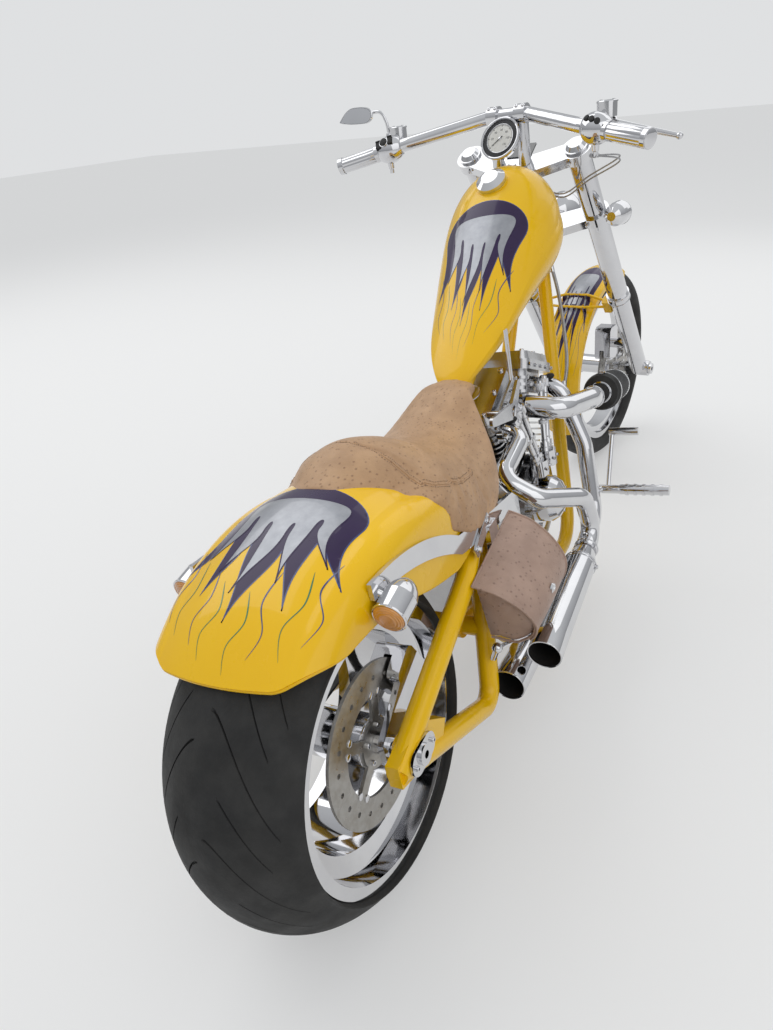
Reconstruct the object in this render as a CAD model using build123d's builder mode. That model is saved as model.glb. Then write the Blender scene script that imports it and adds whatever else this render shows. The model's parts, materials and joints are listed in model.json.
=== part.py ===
from build123d import *
import math
import os

# A custom chopper motorcycle with a wide rear tyre, leaning on its side stand.
# It is modelled upright, with the rear axle above the origin, X forward, Y to the rider's left
# and Z up from the ground. Each finished piece is then leaned onto the stand.

# Wheels and tyres
rear_tyre_radius = 325.0
rear_tyre_width = 280.0
rear_lip_radius = 245.5
rear_rim_width = 256.0
front_tyre_radius = 351.0
front_tyre_width = 118.0
front_lip_radius = 280.0
front_rim_width = 82.0
lip_height = 13.5
lip_thickness = 8.0
barrel_wall = 7.0
crown_factor = 1.18
tyre_gap = 1.0
spokes = 7
rear_hub_radius = 46.0
front_hub_radius = 34.0
rear_drop = 34.0
front_drop = 22.0
rear_blade = 26.0
front_blade = 18.0
rear_dish = -20.0
disc_thickness = 6.0
disc_holes = 20
disc_arms = 5
disc_hole_radius = 4.5
rear_disc_inner = 92.0
front_disc_inner = 96.0
rear_carrier_radius = 44.0
shaft_room = 2.0
rear_disc_radius = 146.0
rear_hub_half = 100.0
front_disc_radius = 146.0
front_hub_half = 60.0
axle_diameter = 25.0
axle_bore = 14.0
axle_bore_depth = 60.0

# Layout
wheelbase = 1972.0
rake = 36.0
fork_offset = 62.0
leg_spacing = 320.0
lean = 8.0
rest_steer = -10.5

# Frame and swingarm
backbone_diameter = 60.0
frame_tube = 38.0
arm_tube = 42.0
arm_offset = 170.0
left_arm_offset = 198.0
rail_offset = 128.0
rail_height = 130.0
heel_x = 480.0
neck_diameter = 64.0
stem_diameter = 36.0

# Fork
leg_diameter = 63.0
slider_diameter = 60.0
seal_height = 410.0
lower_clamp_height = 750.0
upper_clamp_height = 968.0
clamp_thickness = 28.0
clamp_wall = 9.0
neck_gap = 11.0
neck_low = lower_clamp_height + clamp_thickness / 2 + neck_gap
neck_high = upper_clamp_height - clamp_thickness / 2 - neck_gap
neck_middle = (neck_low + neck_high) / 2

# Engine
crank = Vector(975, 0, 290)
bank_angle = 22.5
case_radius = 125.0
case_half = 88.0
cylinder_base = 130.0
head_base = 290.0
rocker_base = 350.0
rocker_height = 48.0
rocker_length = 206.0
rocker_width = 176.0
lid_height = 22.0
lid_taper = 12.0
lid_step = 12.0
fin_radius = 74.0
fin_count = 9
fin_thickness = 5.0

# Final drive
final_shaft = Vector(650, 0, 282)
pulley_radius = 112.0
front_pulley_radius = 52.0
pulley_width = 26.0
pulley_offset = 159.0
belt_width = 24.0
belt_thickness = 6.0
primary_inner = 180.0

# Clearances
fit = 0.3
inner_gap = 0.6

sin_rake = math.sin(math.radians(rake))
cos_rake = math.cos(math.radians(rake))
steer_up = Vector(-sin_rake, 0, cos_rake)
steer_forward = Vector(cos_rake, 0, sin_rake)
front_axle = Vector(wheelbase, 0, front_tyre_radius)
steer_base = front_axle - steer_forward * fork_offset
rear_axle = Vector(0, 0, rear_tyre_radius)
side = Vector(0, 1, 0)
rear_disc_offset = rear_hub_half + fit + disc_thickness / 2
front_disc_offset = front_hub_half + fit + disc_thickness / 2


def steer_point(up, forward=0.0, left=0.0):
    """A place given by its way up the steering axis, ahead of it and to the left."""
    return steer_base + steer_up * up + steer_forward * forward + side * left


# Turning the steering and leaning the machine
turn = Location(steer_base, steer_up, rest_steer) * Location(-steer_base)
tilt = Location((0, 0, 0), (1, 0, 0), -lean)


def lowest_of_tyre(spindle, place, radius, width):
    """Height of the lowest point of a round-crowned tyre on a spindle that is put in place."""
    centre = (place * Location(spindle)).position
    spin = (place * Location(spindle + side)).position - centre
    crown = crown_factor * width / 2
    return centre.Z - (radius - crown) * math.sqrt(1 - spin.Z**2) - crown


rear_low = lowest_of_tyre(rear_axle, tilt, rear_tyre_radius, rear_tyre_width)
front_low = lowest_of_tyre(front_axle, tilt * turn, front_tyre_radius, front_tyre_width)
settle = math.degrees(math.atan((front_low - rear_low) / wheelbase))
stand_pose = Location((0, 0, -rear_low)) * Location((0, 0, 0), (0, 1, 0), settle) * tilt
steered_pose = stand_pose * turn


finished = []


def keep(piece, label, pose=stand_pose):
    """Put a finished piece in its pose, name it and set it aside for writing."""
    placed = piece.part.moved(pose)
    placed.label = label
    finished.append(placed)


def add_tube(points, diameter, radii=None, bore=0.0):
    """Add a round tube along straight runs with bends of the given radii."""
    with BuildLine() as path:
        if len(points) == 2:
            Line(*points)
        else:
            FilletPolyline(*points, radius=radii)
    with BuildSketch(Plane(origin=path.line @ 0, z_dir=path.line % 0)) as ring:
        Circle(diameter / 2)
        if bore > 0:
            Circle(bore / 2, mode=Mode.SUBTRACT)
    sweep(ring.sketch, path=path.line)


def add_rod(start, end, diameter, end_diameter=None, mode=Mode.ADD):
    """Add a straight round rod or taper from one place to another."""
    run = end - start
    with BuildSketch(Plane(origin=start, z_dir=run)) as foot:
        Circle(diameter / 2)
    if end_diameter is None:
        extrude(foot.sketch, amount=run.length, mode=mode)
    else:
        with BuildSketch(Plane(origin=end, z_dir=run)) as tip:
            Circle(end_diameter / 2)
        loft([foot.sketch, tip.sketch], mode=mode)


def add_plate(plane, points, thickness, both=False):
    """Add a flat plate of a straight-sided outline."""
    with BuildSketch(plane) as outline:
        Polygon(*points, align=None)
    extrude(outline.sketch, amount=thickness, both=both)


# Tyres


def wheel_plane(centre):
    """A section plane with its first axis along the spindle and its second axis outward."""
    return Plane(origin=centre, x_dir=(0, 1, 0), z_dir=(1, 0, 0))


def tyre(centre, radius, width, lip_radius, rim_width):
    """A tyre with a round crown, short walls and beads inside the rim's lips."""
    half = width / 2
    crown = crown_factor * half
    edge = 0.96 * half
    edge_radius = radius - crown + math.sqrt(crown**2 - edge**2)
    bead = rim_width / 2 - lip_thickness - fit
    seat_radius = lip_radius - lip_height + tyre_gap
    wall_top = (edge, edge_radius)
    wall_mid = (half, 0.6 * edge_radius + 0.4 * lip_radius)
    wall_low = (rim_width / 2 + 3, lip_radius + 3)
    with BuildPart() as piece:
        with BuildSketch(wheel_plane(centre)):
            with BuildLine():
                ThreePointArc((-edge, edge_radius), (0, radius), wall_top)
                ThreePointArc(wall_top, wall_mid, wall_low)
                Polyline(
                    wall_low,
                    (bead, lip_radius + tyre_gap),
                    (bead, seat_radius),
                    (-bead, seat_radius),
                    (-bead, lip_radius + tyre_gap),
                    (-wall_low[0], wall_low[1]),
                )
                ThreePointArc(
                    (-wall_low[0], wall_low[1]), (-wall_mid[0], wall_mid[1]), (-edge, edge_radius)
                )
            make_face()
        revolve(axis=Axis(centre, side))
    return piece


keep(
    tyre(rear_axle, rear_tyre_radius, rear_tyre_width, rear_lip_radius, rear_rim_width),
    "rear_tyre",
)
keep(
    tyre(front_axle, front_tyre_radius, front_tyre_width, front_lip_radius, front_rim_width),
    "front_tyre",
    steered_pose,
)


# Rims with curved blade spokes


def rim(centre, lip_radius, rim_width, drop, hub_radius, hub_half, blade, dish):
    """A drop-centre barrel, a hub bored for the spindle and curved blade spokes between them."""
    half = rim_width / 2
    seat = lip_radius - lip_height
    well = seat - drop
    bore = axle_diameter / 2 + fit
    with BuildPart() as piece:
        with BuildSketch(wheel_plane(centre)):
            Polygon(
                (-half, lip_radius),
                (-half + lip_thickness, lip_radius),
                (-half + lip_thickness, seat),
                (-half * 0.7, seat - 3),
                (-half * 0.55, well),
                (half * 0.55, well),
                (half * 0.7, seat - 3),
                (half - lip_thickness, seat),
                (half - lip_thickness, lip_radius),
                (half, lip_radius),
                (half, seat - barrel_wall),
                (half * 0.7, seat - 3 - barrel_wall),
                (half * 0.6, well - barrel_wall),
                (-half * 0.6, well - barrel_wall),
                (-half * 0.7, seat - 3 - barrel_wall),
                (-half, seat - barrel_wall),
                align=None,
            )
        revolve(axis=Axis(centre, side))
        with BuildSketch(wheel_plane(centre)):
            with Locations((0, (hub_radius + bore) / 2)):
                Rectangle(2 * hub_half, hub_radius - bore)
        revolve(axis=Axis(centre, side))
        reach = well - barrel_wall / 2
        root = hub_radius - 2
        with BuildSketch(Plane(origin=centre + side * (dish + blade / 2), x_dir=(1, 0, 0), z_dir=(0, -1, 0))):
            with PolarLocations(0, spokes):
                with BuildLine():
                    ThreePointArc((root * 0.9, -12), (reach * 0.6, -34), (reach, -10))
                    ThreePointArc((reach, 22), (reach * 0.6, -8), (root * 0.9, 14))
                    Line((reach, -10), (reach, 22))
                    Line((root * 0.9, 14), (root * 0.9, -12))
                make_face()
        extrude(amount=blade)
    return piece


keep(
    rim(
        rear_axle, rear_lip_radius, rear_rim_width, rear_drop, rear_hub_radius, rear_hub_half, rear_blade,
        rear_dish,
    ),
    "rear_rim",
)
keep(
    rim(
        front_axle, front_lip_radius, front_rim_width, front_drop, front_hub_radius, front_hub_half,
        front_blade, 0,
    ),
    "front_rim",
    steered_pose,
)


# Brake discs and the belt pulley


def disc(centre, outer, inner, offset, hub_radius):
    """A drilled disc on a thin spider, standing on the right of a wheel's hub."""
    with BuildPart() as piece:
        with BuildSketch(
            Plane(origin=centre - side * (offset - disc_thickness / 2), x_dir=(1, 0, 0), z_dir=(0, -1, 0))
        ):
            Circle(outer)
            Circle(inner, mode=Mode.SUBTRACT)
            with PolarLocations((outer + inner) / 2, disc_holes):
                Circle(disc_hole_radius, mode=Mode.SUBTRACT)
            with PolarLocations((inner + hub_radius) / 2, disc_arms):
                Rectangle(inner - hub_radius + 12, 20)
            Circle(hub_radius)
            Circle(axle_diameter / 2 + shaft_room, mode=Mode.SUBTRACT)
        extrude(amount=disc_thickness)
    return piece


keep(
    disc(rear_axle, rear_disc_radius, rear_disc_inner, rear_disc_offset, rear_carrier_radius), "rear_disc"
)
keep(
    disc(front_axle, front_disc_radius, front_disc_inner, front_disc_offset, front_hub_radius),
    "front_disc",
    steered_pose,
)

with BuildPart() as rear_pulley:
    add_rod(rear_axle + side * (rear_hub_half + fit), rear_axle + side * pulley_offset, 84)
    with BuildSketch(Plane(rear_axle + side * (pulley_offset - pulley_width / 2), z_dir=side)):
        Circle(pulley_radius)
        Circle(axle_diameter / 2 + shaft_room, mode=Mode.SUBTRACT)
        with PolarLocations(68, 6):
            Circle(18, mode=Mode.SUBTRACT)
    extrude(amount=pulley_width)
    add_rod(
        rear_axle, rear_axle + side * pulley_offset, axle_diameter + 2 * shaft_room, mode=Mode.SUBTRACT
    )
keep(rear_pulley, "rear_pulley")

# Axles, bored at each end for a lifting stand's pin
arm_boss = 50.0
arm_boss_half = arm_tube / 2 + 1
cap_gap = arm_boss_half + fit
cap_length = 10.0
spacer_diameter = 38.0
axle_plate_length = 84.0
axle_plate_width = 46.0
axle_plate_thickness = 5.0
plate_half = 12.0
right_end = rear_axle - side * (arm_offset + cap_gap)
left_end = rear_axle + side * (left_arm_offset + cap_gap)
with BuildPart() as rear_axle_piece:
    add_rod(right_end, left_end, axle_diameter)
    add_rod(right_end, right_end - side * cap_length, spacer_diameter)
    add_rod(left_end, left_end + side * cap_length, spacer_diameter)
    disc_face = rear_axle - side * (rear_disc_offset + disc_thickness / 2 + fit)
    pulley_face = rear_axle + side * (pulley_offset + pulley_width / 2 + fit)
    add_rod(disc_face, rear_axle - side * (arm_offset - cap_gap), spacer_diameter)
    add_rod(pulley_face, rear_axle + side * (left_arm_offset - cap_gap), spacer_diameter)
    for end, outward in ((right_end, -side), (left_end, side)):
        with BuildSketch(Plane(end, x_dir=(1, 0, 0.08), z_dir=outward)) as plate:
            SlotOverall(axle_plate_length, axle_plate_width)
        extrude(plate.sketch, amount=axle_plate_thickness)
        mouth = end + outward * cap_length
        add_rod(mouth - outward * axle_bore_depth, mouth, axle_bore, mode=Mode.SUBTRACT)
keep(rear_axle_piece, "rear_axle")
front_axle_half = leg_spacing / 2 + 38 + fit
with BuildPart() as front_axle_piece:
    add_rod(front_axle - side * front_axle_half, front_axle + side * front_axle_half, axle_diameter)
    for outward in (-side, side):
        cap = front_axle + outward * front_axle_half
        mouth = cap + outward * cap_length
        add_rod(cap, mouth, spacer_diameter)
        hub_face = front_hub_half + fit
        if outward.Y < 0:
            hub_face = front_disc_offset + disc_thickness / 2 + fit
        boss_face = leg_spacing / 2 - 38 - fit
        add_rod(front_axle + outward * hub_face, front_axle + outward * boss_face, spacer_diameter)
        add_rod(mouth - outward * axle_bore_depth, mouth, axle_bore, mode=Mode.SUBTRACT)
keep(front_axle_piece, "front_axle", steered_pose)

# Swingarm: a welded triangle of tube on each side of the tyre, joined by the pivot's cross tube
cross_tube = 40.0
right_low = Vector(312, -arm_offset, 155)
right_high = Vector(455, -142, 525)
left_low = Vector(312, left_arm_offset, 155)
left_high = Vector(452, left_arm_offset, 462)
pivot_height = 305.0
right_share = (pivot_height - right_low.Z) / (right_high.Z - right_low.Z)
left_share = (pivot_height - left_low.Z) / (left_high.Z - left_low.Z)
cross_right = right_low + (right_high - right_low) * right_share
cross_left = left_low + (left_high - left_low) * left_share
for name, hand, offset, low, high in (
    ("right", -1, arm_offset, right_low, right_high),
    ("left", 1, left_arm_offset, left_low, left_high),
):
    arm_tail = Vector(-50, hand * offset, 322)
    plate = side * hand * offset
    with BuildPart() as arm:
        if hand < 0:
            add_tube((arm_tail, Vector(310, -offset, 466), high), arm_tube, 120)
        else:
            add_tube((arm_tail, high), arm_tube)
            add_rod(cross_left, cross_right, cross_tube)
            add_rod(right_low, right_high, arm_tube + 2 * fit, mode=Mode.SUBTRACT)
        add_tube((arm_tail, low, high), arm_tube, 40)
        add_plate(
            Plane(origin=plate, x_dir=(1, 0, 0), z_dir=(0, -1, 0)),
            ((-60, 300), (-60, 345), (30, 365), (110, 300), (80, 262)),
            plate_half,
            both=True,
        )
        add_rod(
            rear_axle + plate - side * arm_boss_half, rear_axle + plate + side * arm_boss_half, arm_boss
        )
        add_rod(
            rear_axle + plate - side * 60,
            rear_axle + plate + side * 60,
            axle_diameter + 2 * fit,
            mode=Mode.SUBTRACT,
        )
    keep(arm, f"swingarm_{name}")

# Main frame


def cradle_top(hand):
    """Where a down tube meets the neck."""
    return steer_point(neck_low + 27, -23, hand * 24)


def cradle_knee(hand):
    """Where a down tube turns into its lower rail."""
    return Vector(1066, hand * rail_offset, rail_height)


backbone_start = steer_point(neck_middle)
backbone_end = Vector(620, 0, 612)
with BuildPart() as frame_neck:
    add_rod(steer_point(neck_low), steer_point(neck_high), neck_diameter)
    add_rod(backbone_start, backbone_end, backbone_diameter)
    add_rod(
        steer_point(neck_low - 5), steer_point(neck_high + 5), stem_diameter + 2 * fit, mode=Mode.SUBTRACT
    )
keep(frame_neck, "frame_backbone")
# Side stand hinge, found from where the foot meets the ground and where the leg is folded to
stand_pivot = Vector(700, 165, 118)
ground_foot = Vector(775, 350, 0)
foot = (stand_pose.inverse() * Location(ground_foot)).position
ground_up = (stand_pose.inverse() * Location(ground_foot + Vector(0, 0, 1))).position - foot
stowed = Vector(-270, 30, 10).normalized()
deployed = (foot - stand_pivot).normalized()
hinge = deployed.cross(stowed).normalized()
hinge_travel = math.degrees(math.acos(deployed.dot(stowed)))
pin_diameter = 12.0
stand_boss = 34.0
boss_half = 9.0
lug_thickness = 10.0
pivot_eye = 62.0
for name, hand in (("right", -1), ("left", 1)):
    top = cradle_top(hand)
    knee = cradle_knee(hand)
    heel = Vector(heel_x, hand * rail_offset, rail_height)
    seat_corner = Vector(578, hand * 118, 500)
    crown = Vector(640, hand * 34, 600)
    with BuildPart() as cradle:
        add_tube((top, knee, heel, seat_corner, crown), frame_tube, (110, 90, 60))
        add_rod(
            steer_point(neck_low - 60), steer_point(neck_high), neck_diameter + 2 * fit, mode=Mode.SUBTRACT
        )
        add_rod(backbone_start, backbone_end, backbone_diameter + 2 * fit, mode=Mode.SUBTRACT)
        eye = Vector((cross_left.X + cross_right.X) / 2, hand * 96, pivot_height)
        add_rod(Vector(527, hand * 123, pivot_height), eye, frame_tube)
        add_rod(eye - side * hand * 20, eye + side * hand * 14, pivot_eye)
        add_rod(cross_right, cross_left, cross_tube + 2 * fit, mode=Mode.SUBTRACT)
        if hand > 0:
            add_rod(stand_pivot - hinge * boss_half, stand_pivot + hinge * boss_half, pin_diameter)
            lug_base = stand_pivot + hinge * (boss_half + fit)
            inward = (hinge * hinge.Y - side).normalized()
            add_plate(
                Plane(origin=lug_base, x_dir=inward, z_dir=hinge),
                ((0, -17), (0, 17), (46, 22), (46, -22)),
                lug_thickness,
            )
            add_rod(lug_base, lug_base + hinge * lug_thickness, stand_boss)
    keep(cradle, f"frame_cradle_{name}")

# Rear fender: a lofted shell over the tyre
fender_centre = Vector(116, 0, 199)
fender_wall = 4.0
fender_bend = 44.0
fender_depth = 330.0
fender_sections = (
    # turn from upright, crown radius, shoulder radius, half width
    (-38, 503, 490, 166),
    (-15, 520, 495, 172),
    (8, 536, 497, 175),
    (27, 536, 494, 175),
    (42, 530, 489, 172),
)
fender_skirt = (
    # turn from upright and radius of the lower edge
    (-38, 478),
    (-27, 440),
    (-12, 395),
    (8, 348),
    (27, 352),
    (37, 396),
    (42, 466),
)


def fender_point(angle, radius):
    """A place in side view at a turn from upright and a radius about the fender's centre."""
    turned = math.radians(angle)
    return (fender_centre.X + radius * math.sin(turned), fender_centre.Z + radius * math.cos(turned))


def fender_loft(inset, mode):
    """One skin of the fender, set inward from the outer one."""
    outlines = []
    for angle, crown_radius, shoulder, half in fender_sections:
        outward = Vector(math.sin(math.radians(angle)), 0, math.cos(math.radians(angle)))
        across = Plane(origin=fender_centre, x_dir=(0, 1, 0), z_dir=outward.cross(Vector(0, -1, 0)))
        wide = half - inset
        top = shoulder - inset
        bend = 0.3 * fender_bend
        with BuildSketch(across) as section:
            with BuildLine():
                ThreePointArc(
                    (-wide + fender_bend, top), (0, crown_radius - inset), (wide - fender_bend, top)
                )
                ThreePointArc(
                    (wide - fender_bend, top), (wide - bend, top - bend), (wide, top - fender_bend)
                )
                Polyline(
                    (wide, top - fender_bend),
                    (wide, fender_depth),
                    (-wide, fender_depth),
                    (-wide, top - fender_bend),
                )
                ThreePointArc(
                    (-wide, top - fender_bend), (-wide + bend, top - bend), (-wide + fender_bend, top)
                )
            make_face()
        outlines.append(section.sketch)
    loft(outlines, mode=mode)


with BuildPart() as fender:
    fender_loft(0, Mode.ADD)
    fender_loft(fender_wall, Mode.SUBTRACT)
    edge = [fender_point(angle, radius) for angle, radius in fender_skirt]
    with BuildSketch(Plane.XZ.offset(-2 * fender_depth)) as trim:
        with BuildLine():
            ThreePointArc(edge[0], edge[1], edge[2])
            ThreePointArc(edge[2], edge[3], edge[4])
            ThreePointArc(edge[4], edge[5], edge[6])
            Polyline(
                edge[6], fender_point(60, 400), fender_point(180, 100), fender_point(-60, 400), edge[0]
            )
        make_face()
    extrude(trim.sketch, amount=4 * fender_depth, mode=Mode.SUBTRACT)
keep(fender, "rear_fender")


# Fuel tank: a teardrop astride the backbone
tank_sections = (
    # place along X, half width, top, widest height, bottom
    (745, 34, 722, 708, 694),
    (835, 84, 806, 775, 738),
    (966, 116, 918, 850, 786),
    (1100, 142, 1038, 930, 826),
    (1220, 151, 1118, 975, 868),
    (1288, 120, 1116, 1006, 926),
)
outlines = []
for place, half, top, widest, bottom in tank_sections:
    with BuildSketch(Plane(origin=(place, 0, 0), x_dir=(0, 1, 0), z_dir=(1, 0, 0))) as section:
        with BuildLine():
            ThreePointArc((-half, widest), (0, top), (half, widest))
            low = bottom + 0.3 * (widest - bottom)
            ThreePointArc((half, widest), (0.93 * half, low), (0.62 * half, bottom))
            Line((0.62 * half, bottom), (-0.62 * half, bottom))
            ThreePointArc((-0.62 * half, bottom), (-0.93 * half, low), (-half, widest))
        make_face()
    outlines.append(section.sketch)
tunnel = backbone_diameter + 2 * fit
cap_place = Vector(1174, 0, 1096)
cap_normal = Vector(-math.sin(math.radians(36)), 0, math.cos(math.radians(36)))
with BuildPart() as tank:
    loft(outlines)
    add_rod(backbone_start, backbone_end, tunnel, mode=Mode.SUBTRACT)
    with BuildSketch(Plane.XZ.offset(-tunnel / 2)) as slot:
        Polygon(
            (backbone_end.X, backbone_end.Z),
            (backbone_start.X, backbone_start.Z),
            (backbone_start.X, backbone_start.Z - 300),
            (backbone_end.X, backbone_end.Z - 300),
            align=None,
        )
    extrude(slot.sketch, amount=tunnel, mode=Mode.SUBTRACT)
    add_rod(cap_place - cap_normal * 30, cap_place, 82)
keep(tank, "fuel_tank")

with BuildPart() as fuel_cap:
    add_rod(cap_place + cap_normal * fit, cap_place + cap_normal * 10, 76)
    add_rod(cap_place + cap_normal * 10, cap_place + cap_normal * 20, 76, 44)
keep(fuel_cap, "fuel_cap")

# Seat
seat_sections = (
    # place along X, half width, lower edge, bottom centre, upper edge, top centre
    (135, 60, 705, 725, 742, 756),
    (200, 128, 670, 700, 700, 782),
    (300, 182, 586, 690, 640, 772),
    (430, 180, 550, 660, 606, 704),
    (540, 158, 560, 640, 606, 676),
    (650, 100, 648, 650, 672, 700),
    (738, 58, 690, 698, 708, 724),
)
outlines = []
for place, half, low, base, high, top in seat_sections:
    with BuildSketch(Plane(origin=(place, 0, 0), x_dir=(0, 1, 0), z_dir=(1, 0, 0))) as section:
        with BuildLine():
            ThreePointArc((-half, low), (0, base), (half, low))
            Line((half, low), (half, high))
            ThreePointArc((half, high), (0, top), (-half, high))
            Line((-half, high), (-half, low))
        make_face()
    outlines.append(section.sketch)
with BuildPart() as seat:
    loft(outlines)
    fender_loft(-fit, Mode.SUBTRACT)
    past_end = backbone_end + (backbone_end - backbone_start).normalized() * 20
    add_rod(backbone_start, past_end, backbone_diameter + 2 * fit, mode=Mode.SUBTRACT)
keep(seat, "seat")

# Fender struts, each with its rear signal
strut_thickness = 8.0
bag_inner = 194.0
strut_gap = 176 + fit
signal_diameter = 56.0
for name, hand in (("right", -1), ("left", 1)):
    with BuildPart() as strut:
        plane = Plane(origin=side * hand * strut_gap, x_dir=(1, 0, 0), z_dir=(0, -1, 0))
        with BuildSketch(plane) as bar:
            with BuildLine():
                upper = ThreePointArc((-5, 662), (150, 642), (290, 575))
                Polyline(
                    upper @ 1, (430, 545), (560, 525), (590, 500), (590, 450), (548, 450), (540, 490),
                    (430, 505), (290, 535),
                )
                lower = ThreePointArc((290, 535), (145, 606), (-5, 634))
                Line(lower @ 1, upper @ 0)
            make_face()
        extrude(bar.sketch, amount=-hand * strut_thickness)
        add_rod(Vector(568, hand * 118, 466), Vector(568, hand * (strut_gap + 2), 466), 24)
        heel = Vector(heel_x, hand * rail_offset, rail_height)
        seat_corner = Vector(578, hand * 118, 500)
        add_rod(heel, seat_corner, frame_tube + 2 * fit, mode=Mode.SUBTRACT)
        stem_end = Vector(20, hand * 206, 618)
        add_rod(Vector(10, hand * (strut_gap + 4), 640), stem_end, 12)
        aim = Vector(0.98, 0, 0.2)
        add_rod(stem_end - aim * 32, stem_end + aim * 8, signal_diameter)
        add_rod(stem_end + aim * 8, stem_end + aim * 40, signal_diameter, 24)
        if hand < 0:
            hanger = strut_gap + strut_thickness - 1
            add_plate(
                Plane(origin=-side * hanger, x_dir=(1, 0, 0), z_dir=(0, -1, 0)),
                ((400, 440), (440, 440), (440, 530), (400, 530)),
                bag_inner - fit - hanger,
            )
    keep(strut, f"fender_strut_{name}")

# Crankcase and gearbox in one housing
with BuildPart() as crankcase:
    add_rod(crank - side * case_half, crank + side * case_half, 2 * case_radius)
    add_plate(
        Plane.XZ.offset(-80),
        ((800, 180), (1090, 180), (1090, 300), (1060, 350), (890, 350), (800, 340)),
        160,
    )
    add_plate(
        Plane.XZ.offset(-84),
        ((520, 180), (804, 180), (804, 330), (760, 380), (560, 380), (520, 340)),
        168,
    )
    add_rod(Vector(650, -84, 282), Vector(650, -102, 282), 150, 132)
    add_plate(Plane.XZ.offset(-62), ((610, 372), (730, 372), (722, 392), (616, 392)), 124)
    add_rod(Vector(1078, 0, 205), Vector(1078, 0, 300), 76)
    add_rod(final_shaft, final_shaft + side * (primary_inner - fit), 34)
    add_rod(
        final_shaft + side * (pulley_offset - belt_width / 2),
        final_shaft + side * (pulley_offset + belt_width / 2),
        2 * (front_pulley_radius - inner_gap),
    )
keep(crankcase, "crankcase")

cover_place = crank + Vector(-18, -case_half - fit, 13)
cover_depth = 77.0
cover_radius = 85.0
cover_bolts = 6
tappet_width = 48.0
with BuildPart() as cam_cover:
    for inner, outer, diameter, end_diameter in (
        (0, 14, 2 * cover_radius, None),
        (13, 46, 130, 124),
        (46, 64, 124, 98),
        (64, cover_depth, 98, 50),
    ):
        add_rod(cover_place - side * inner, cover_place - side * outer, diameter, end_diameter)
    for bolt in range(cover_bolts):
        angle = 2 * math.pi * bolt / cover_bolts
        spot = cover_place + Vector(math.cos(angle), 0, math.sin(angle)) * (cover_radius - 11)
        add_rod(spot - side * 10, spot - side * 20, 12)
keep(cam_cover, "cam_cover")

# Cylinders, each with its head and rocker box; the rear one carries the switch bracket
switch_place = Vector(822, -rocker_width / 2 - 16, 608)
for name, hand in (("rear", -1), ("front", 1)):
    lean_angle = math.radians(bank_angle)
    up = Vector(hand * math.sin(lean_angle), 0, math.cos(lean_angle))
    along = Vector(math.cos(lean_angle), 0, -hand * math.sin(lean_angle))
    fin_pitch = (head_base - cylinder_base - 12) / fin_count
    lid_base = rocker_base + rocker_height - lid_height
    with BuildPart() as cylinder:
        add_rod(crank + up * cylinder_base, crank + up * (head_base + 1), 104)
        for level in range(fin_count):
            height = cylinder_base + 12 + fin_pitch * level
            half = min(fin_radius, height * math.tan(lean_angle) - 2)
            with BuildSketch(Plane(origin=crank + up * height, x_dir=along, z_dir=up)) as fin:
                RectangleRounded(2 * half, 2 * fin_radius, 28)
            extrude(fin.sketch, amount=fin_thickness)
        for base, height, length, width, taper in (
            (head_base, rocker_base + 1 - head_base, 2 * fin_radius - 14, 2 * fin_radius - 14, 0),
            (head_base, 8, 2 * fin_radius, 2 * fin_radius, 0),
            (head_base + 18, 8, 2 * fin_radius, 2 * fin_radius, 0),
            (head_base + 36, 8, 2 * fin_radius, 2 * fin_radius, 0),
            (rocker_base, lid_base - rocker_base, rocker_length, rocker_width, 0),
            (lid_base, lid_height, rocker_length - lid_step, rocker_width - lid_step, lid_taper),
        ):
            with BuildSketch(Plane(origin=crank + up * base, x_dir=along, z_dir=up)) as block:
                RectangleRounded(length, width, 24)
            extrude(block.sketch, amount=height, taper=taper)
        add_rod(
            crank - side * case_half, crank + side * case_half, 2 * (case_radius + fit), mode=Mode.SUBTRACT
        )
        if name == "rear":
            add_rod(switch_place + side * 30, switch_place, 18)
            add_rod(switch_place + Vector(-70, 30, 20), switch_place + Vector(-70, 0, 20), 18)
            with BuildSketch(Plane(origin=switch_place, x_dir=(1, 0, 0), z_dir=(0, -1, 0))) as bracket:
                Circle(22)
                Polygon((-4, -18), (-132, 14), (-126, 34), (4, 22), align=None)
                with Locations((-128, 24)):
                    Circle(11)
                Polygon((-10, 18), (46, 58), (60, 46), (16, -14), align=None)
                with Locations((53, 51)):
                    Circle(10)
                Circle(14, mode=Mode.SUBTRACT)
            extrude(bracket.sketch, amount=8)
    keep(cylinder, f"cylinder_{name}")

# Pushrod covers on their tappet blocks
with BuildPart() as pushrods:
    for hand in (-1, 1):
        up = Vector(hand * math.sin(lean_angle), 0, math.cos(lean_angle))
        for offset in (-20, 20):
            start = crank + Vector(offset * 0.5 + hand * 34, -112, 124)
            finish = crank + up * (rocker_base - 14) + Vector(offset - hand * 24, -99, 0)
            add_rod(start, finish, 15)
            for share, diameter, length in ((0.0, 24, 34), (0.42, 22, 12), (0.86, 22, 22)):
                collar = start + (finish - start) * share
                add_rod(collar, collar + (finish - start).normalized() * length, diameter)
        add_rod(crank + Vector(hand * 34, -112, 92), crank + Vector(hand * 34, -112, 136), tappet_width)
    add_rod(crank + Vector(-34, -112, 110), crank + Vector(34, -112, 110), 30)
    add_rod(crank, crank - side * (case_half + fit), 2 * (case_radius + fit), mode=Mode.SUBTRACT)
    add_rod(
        cover_place + side, cover_place - side * (cover_depth + 1), 2 * (cover_radius + 1), mode=Mode.SUBTRACT
    )
keep(pushrods, "pushrods")

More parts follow.
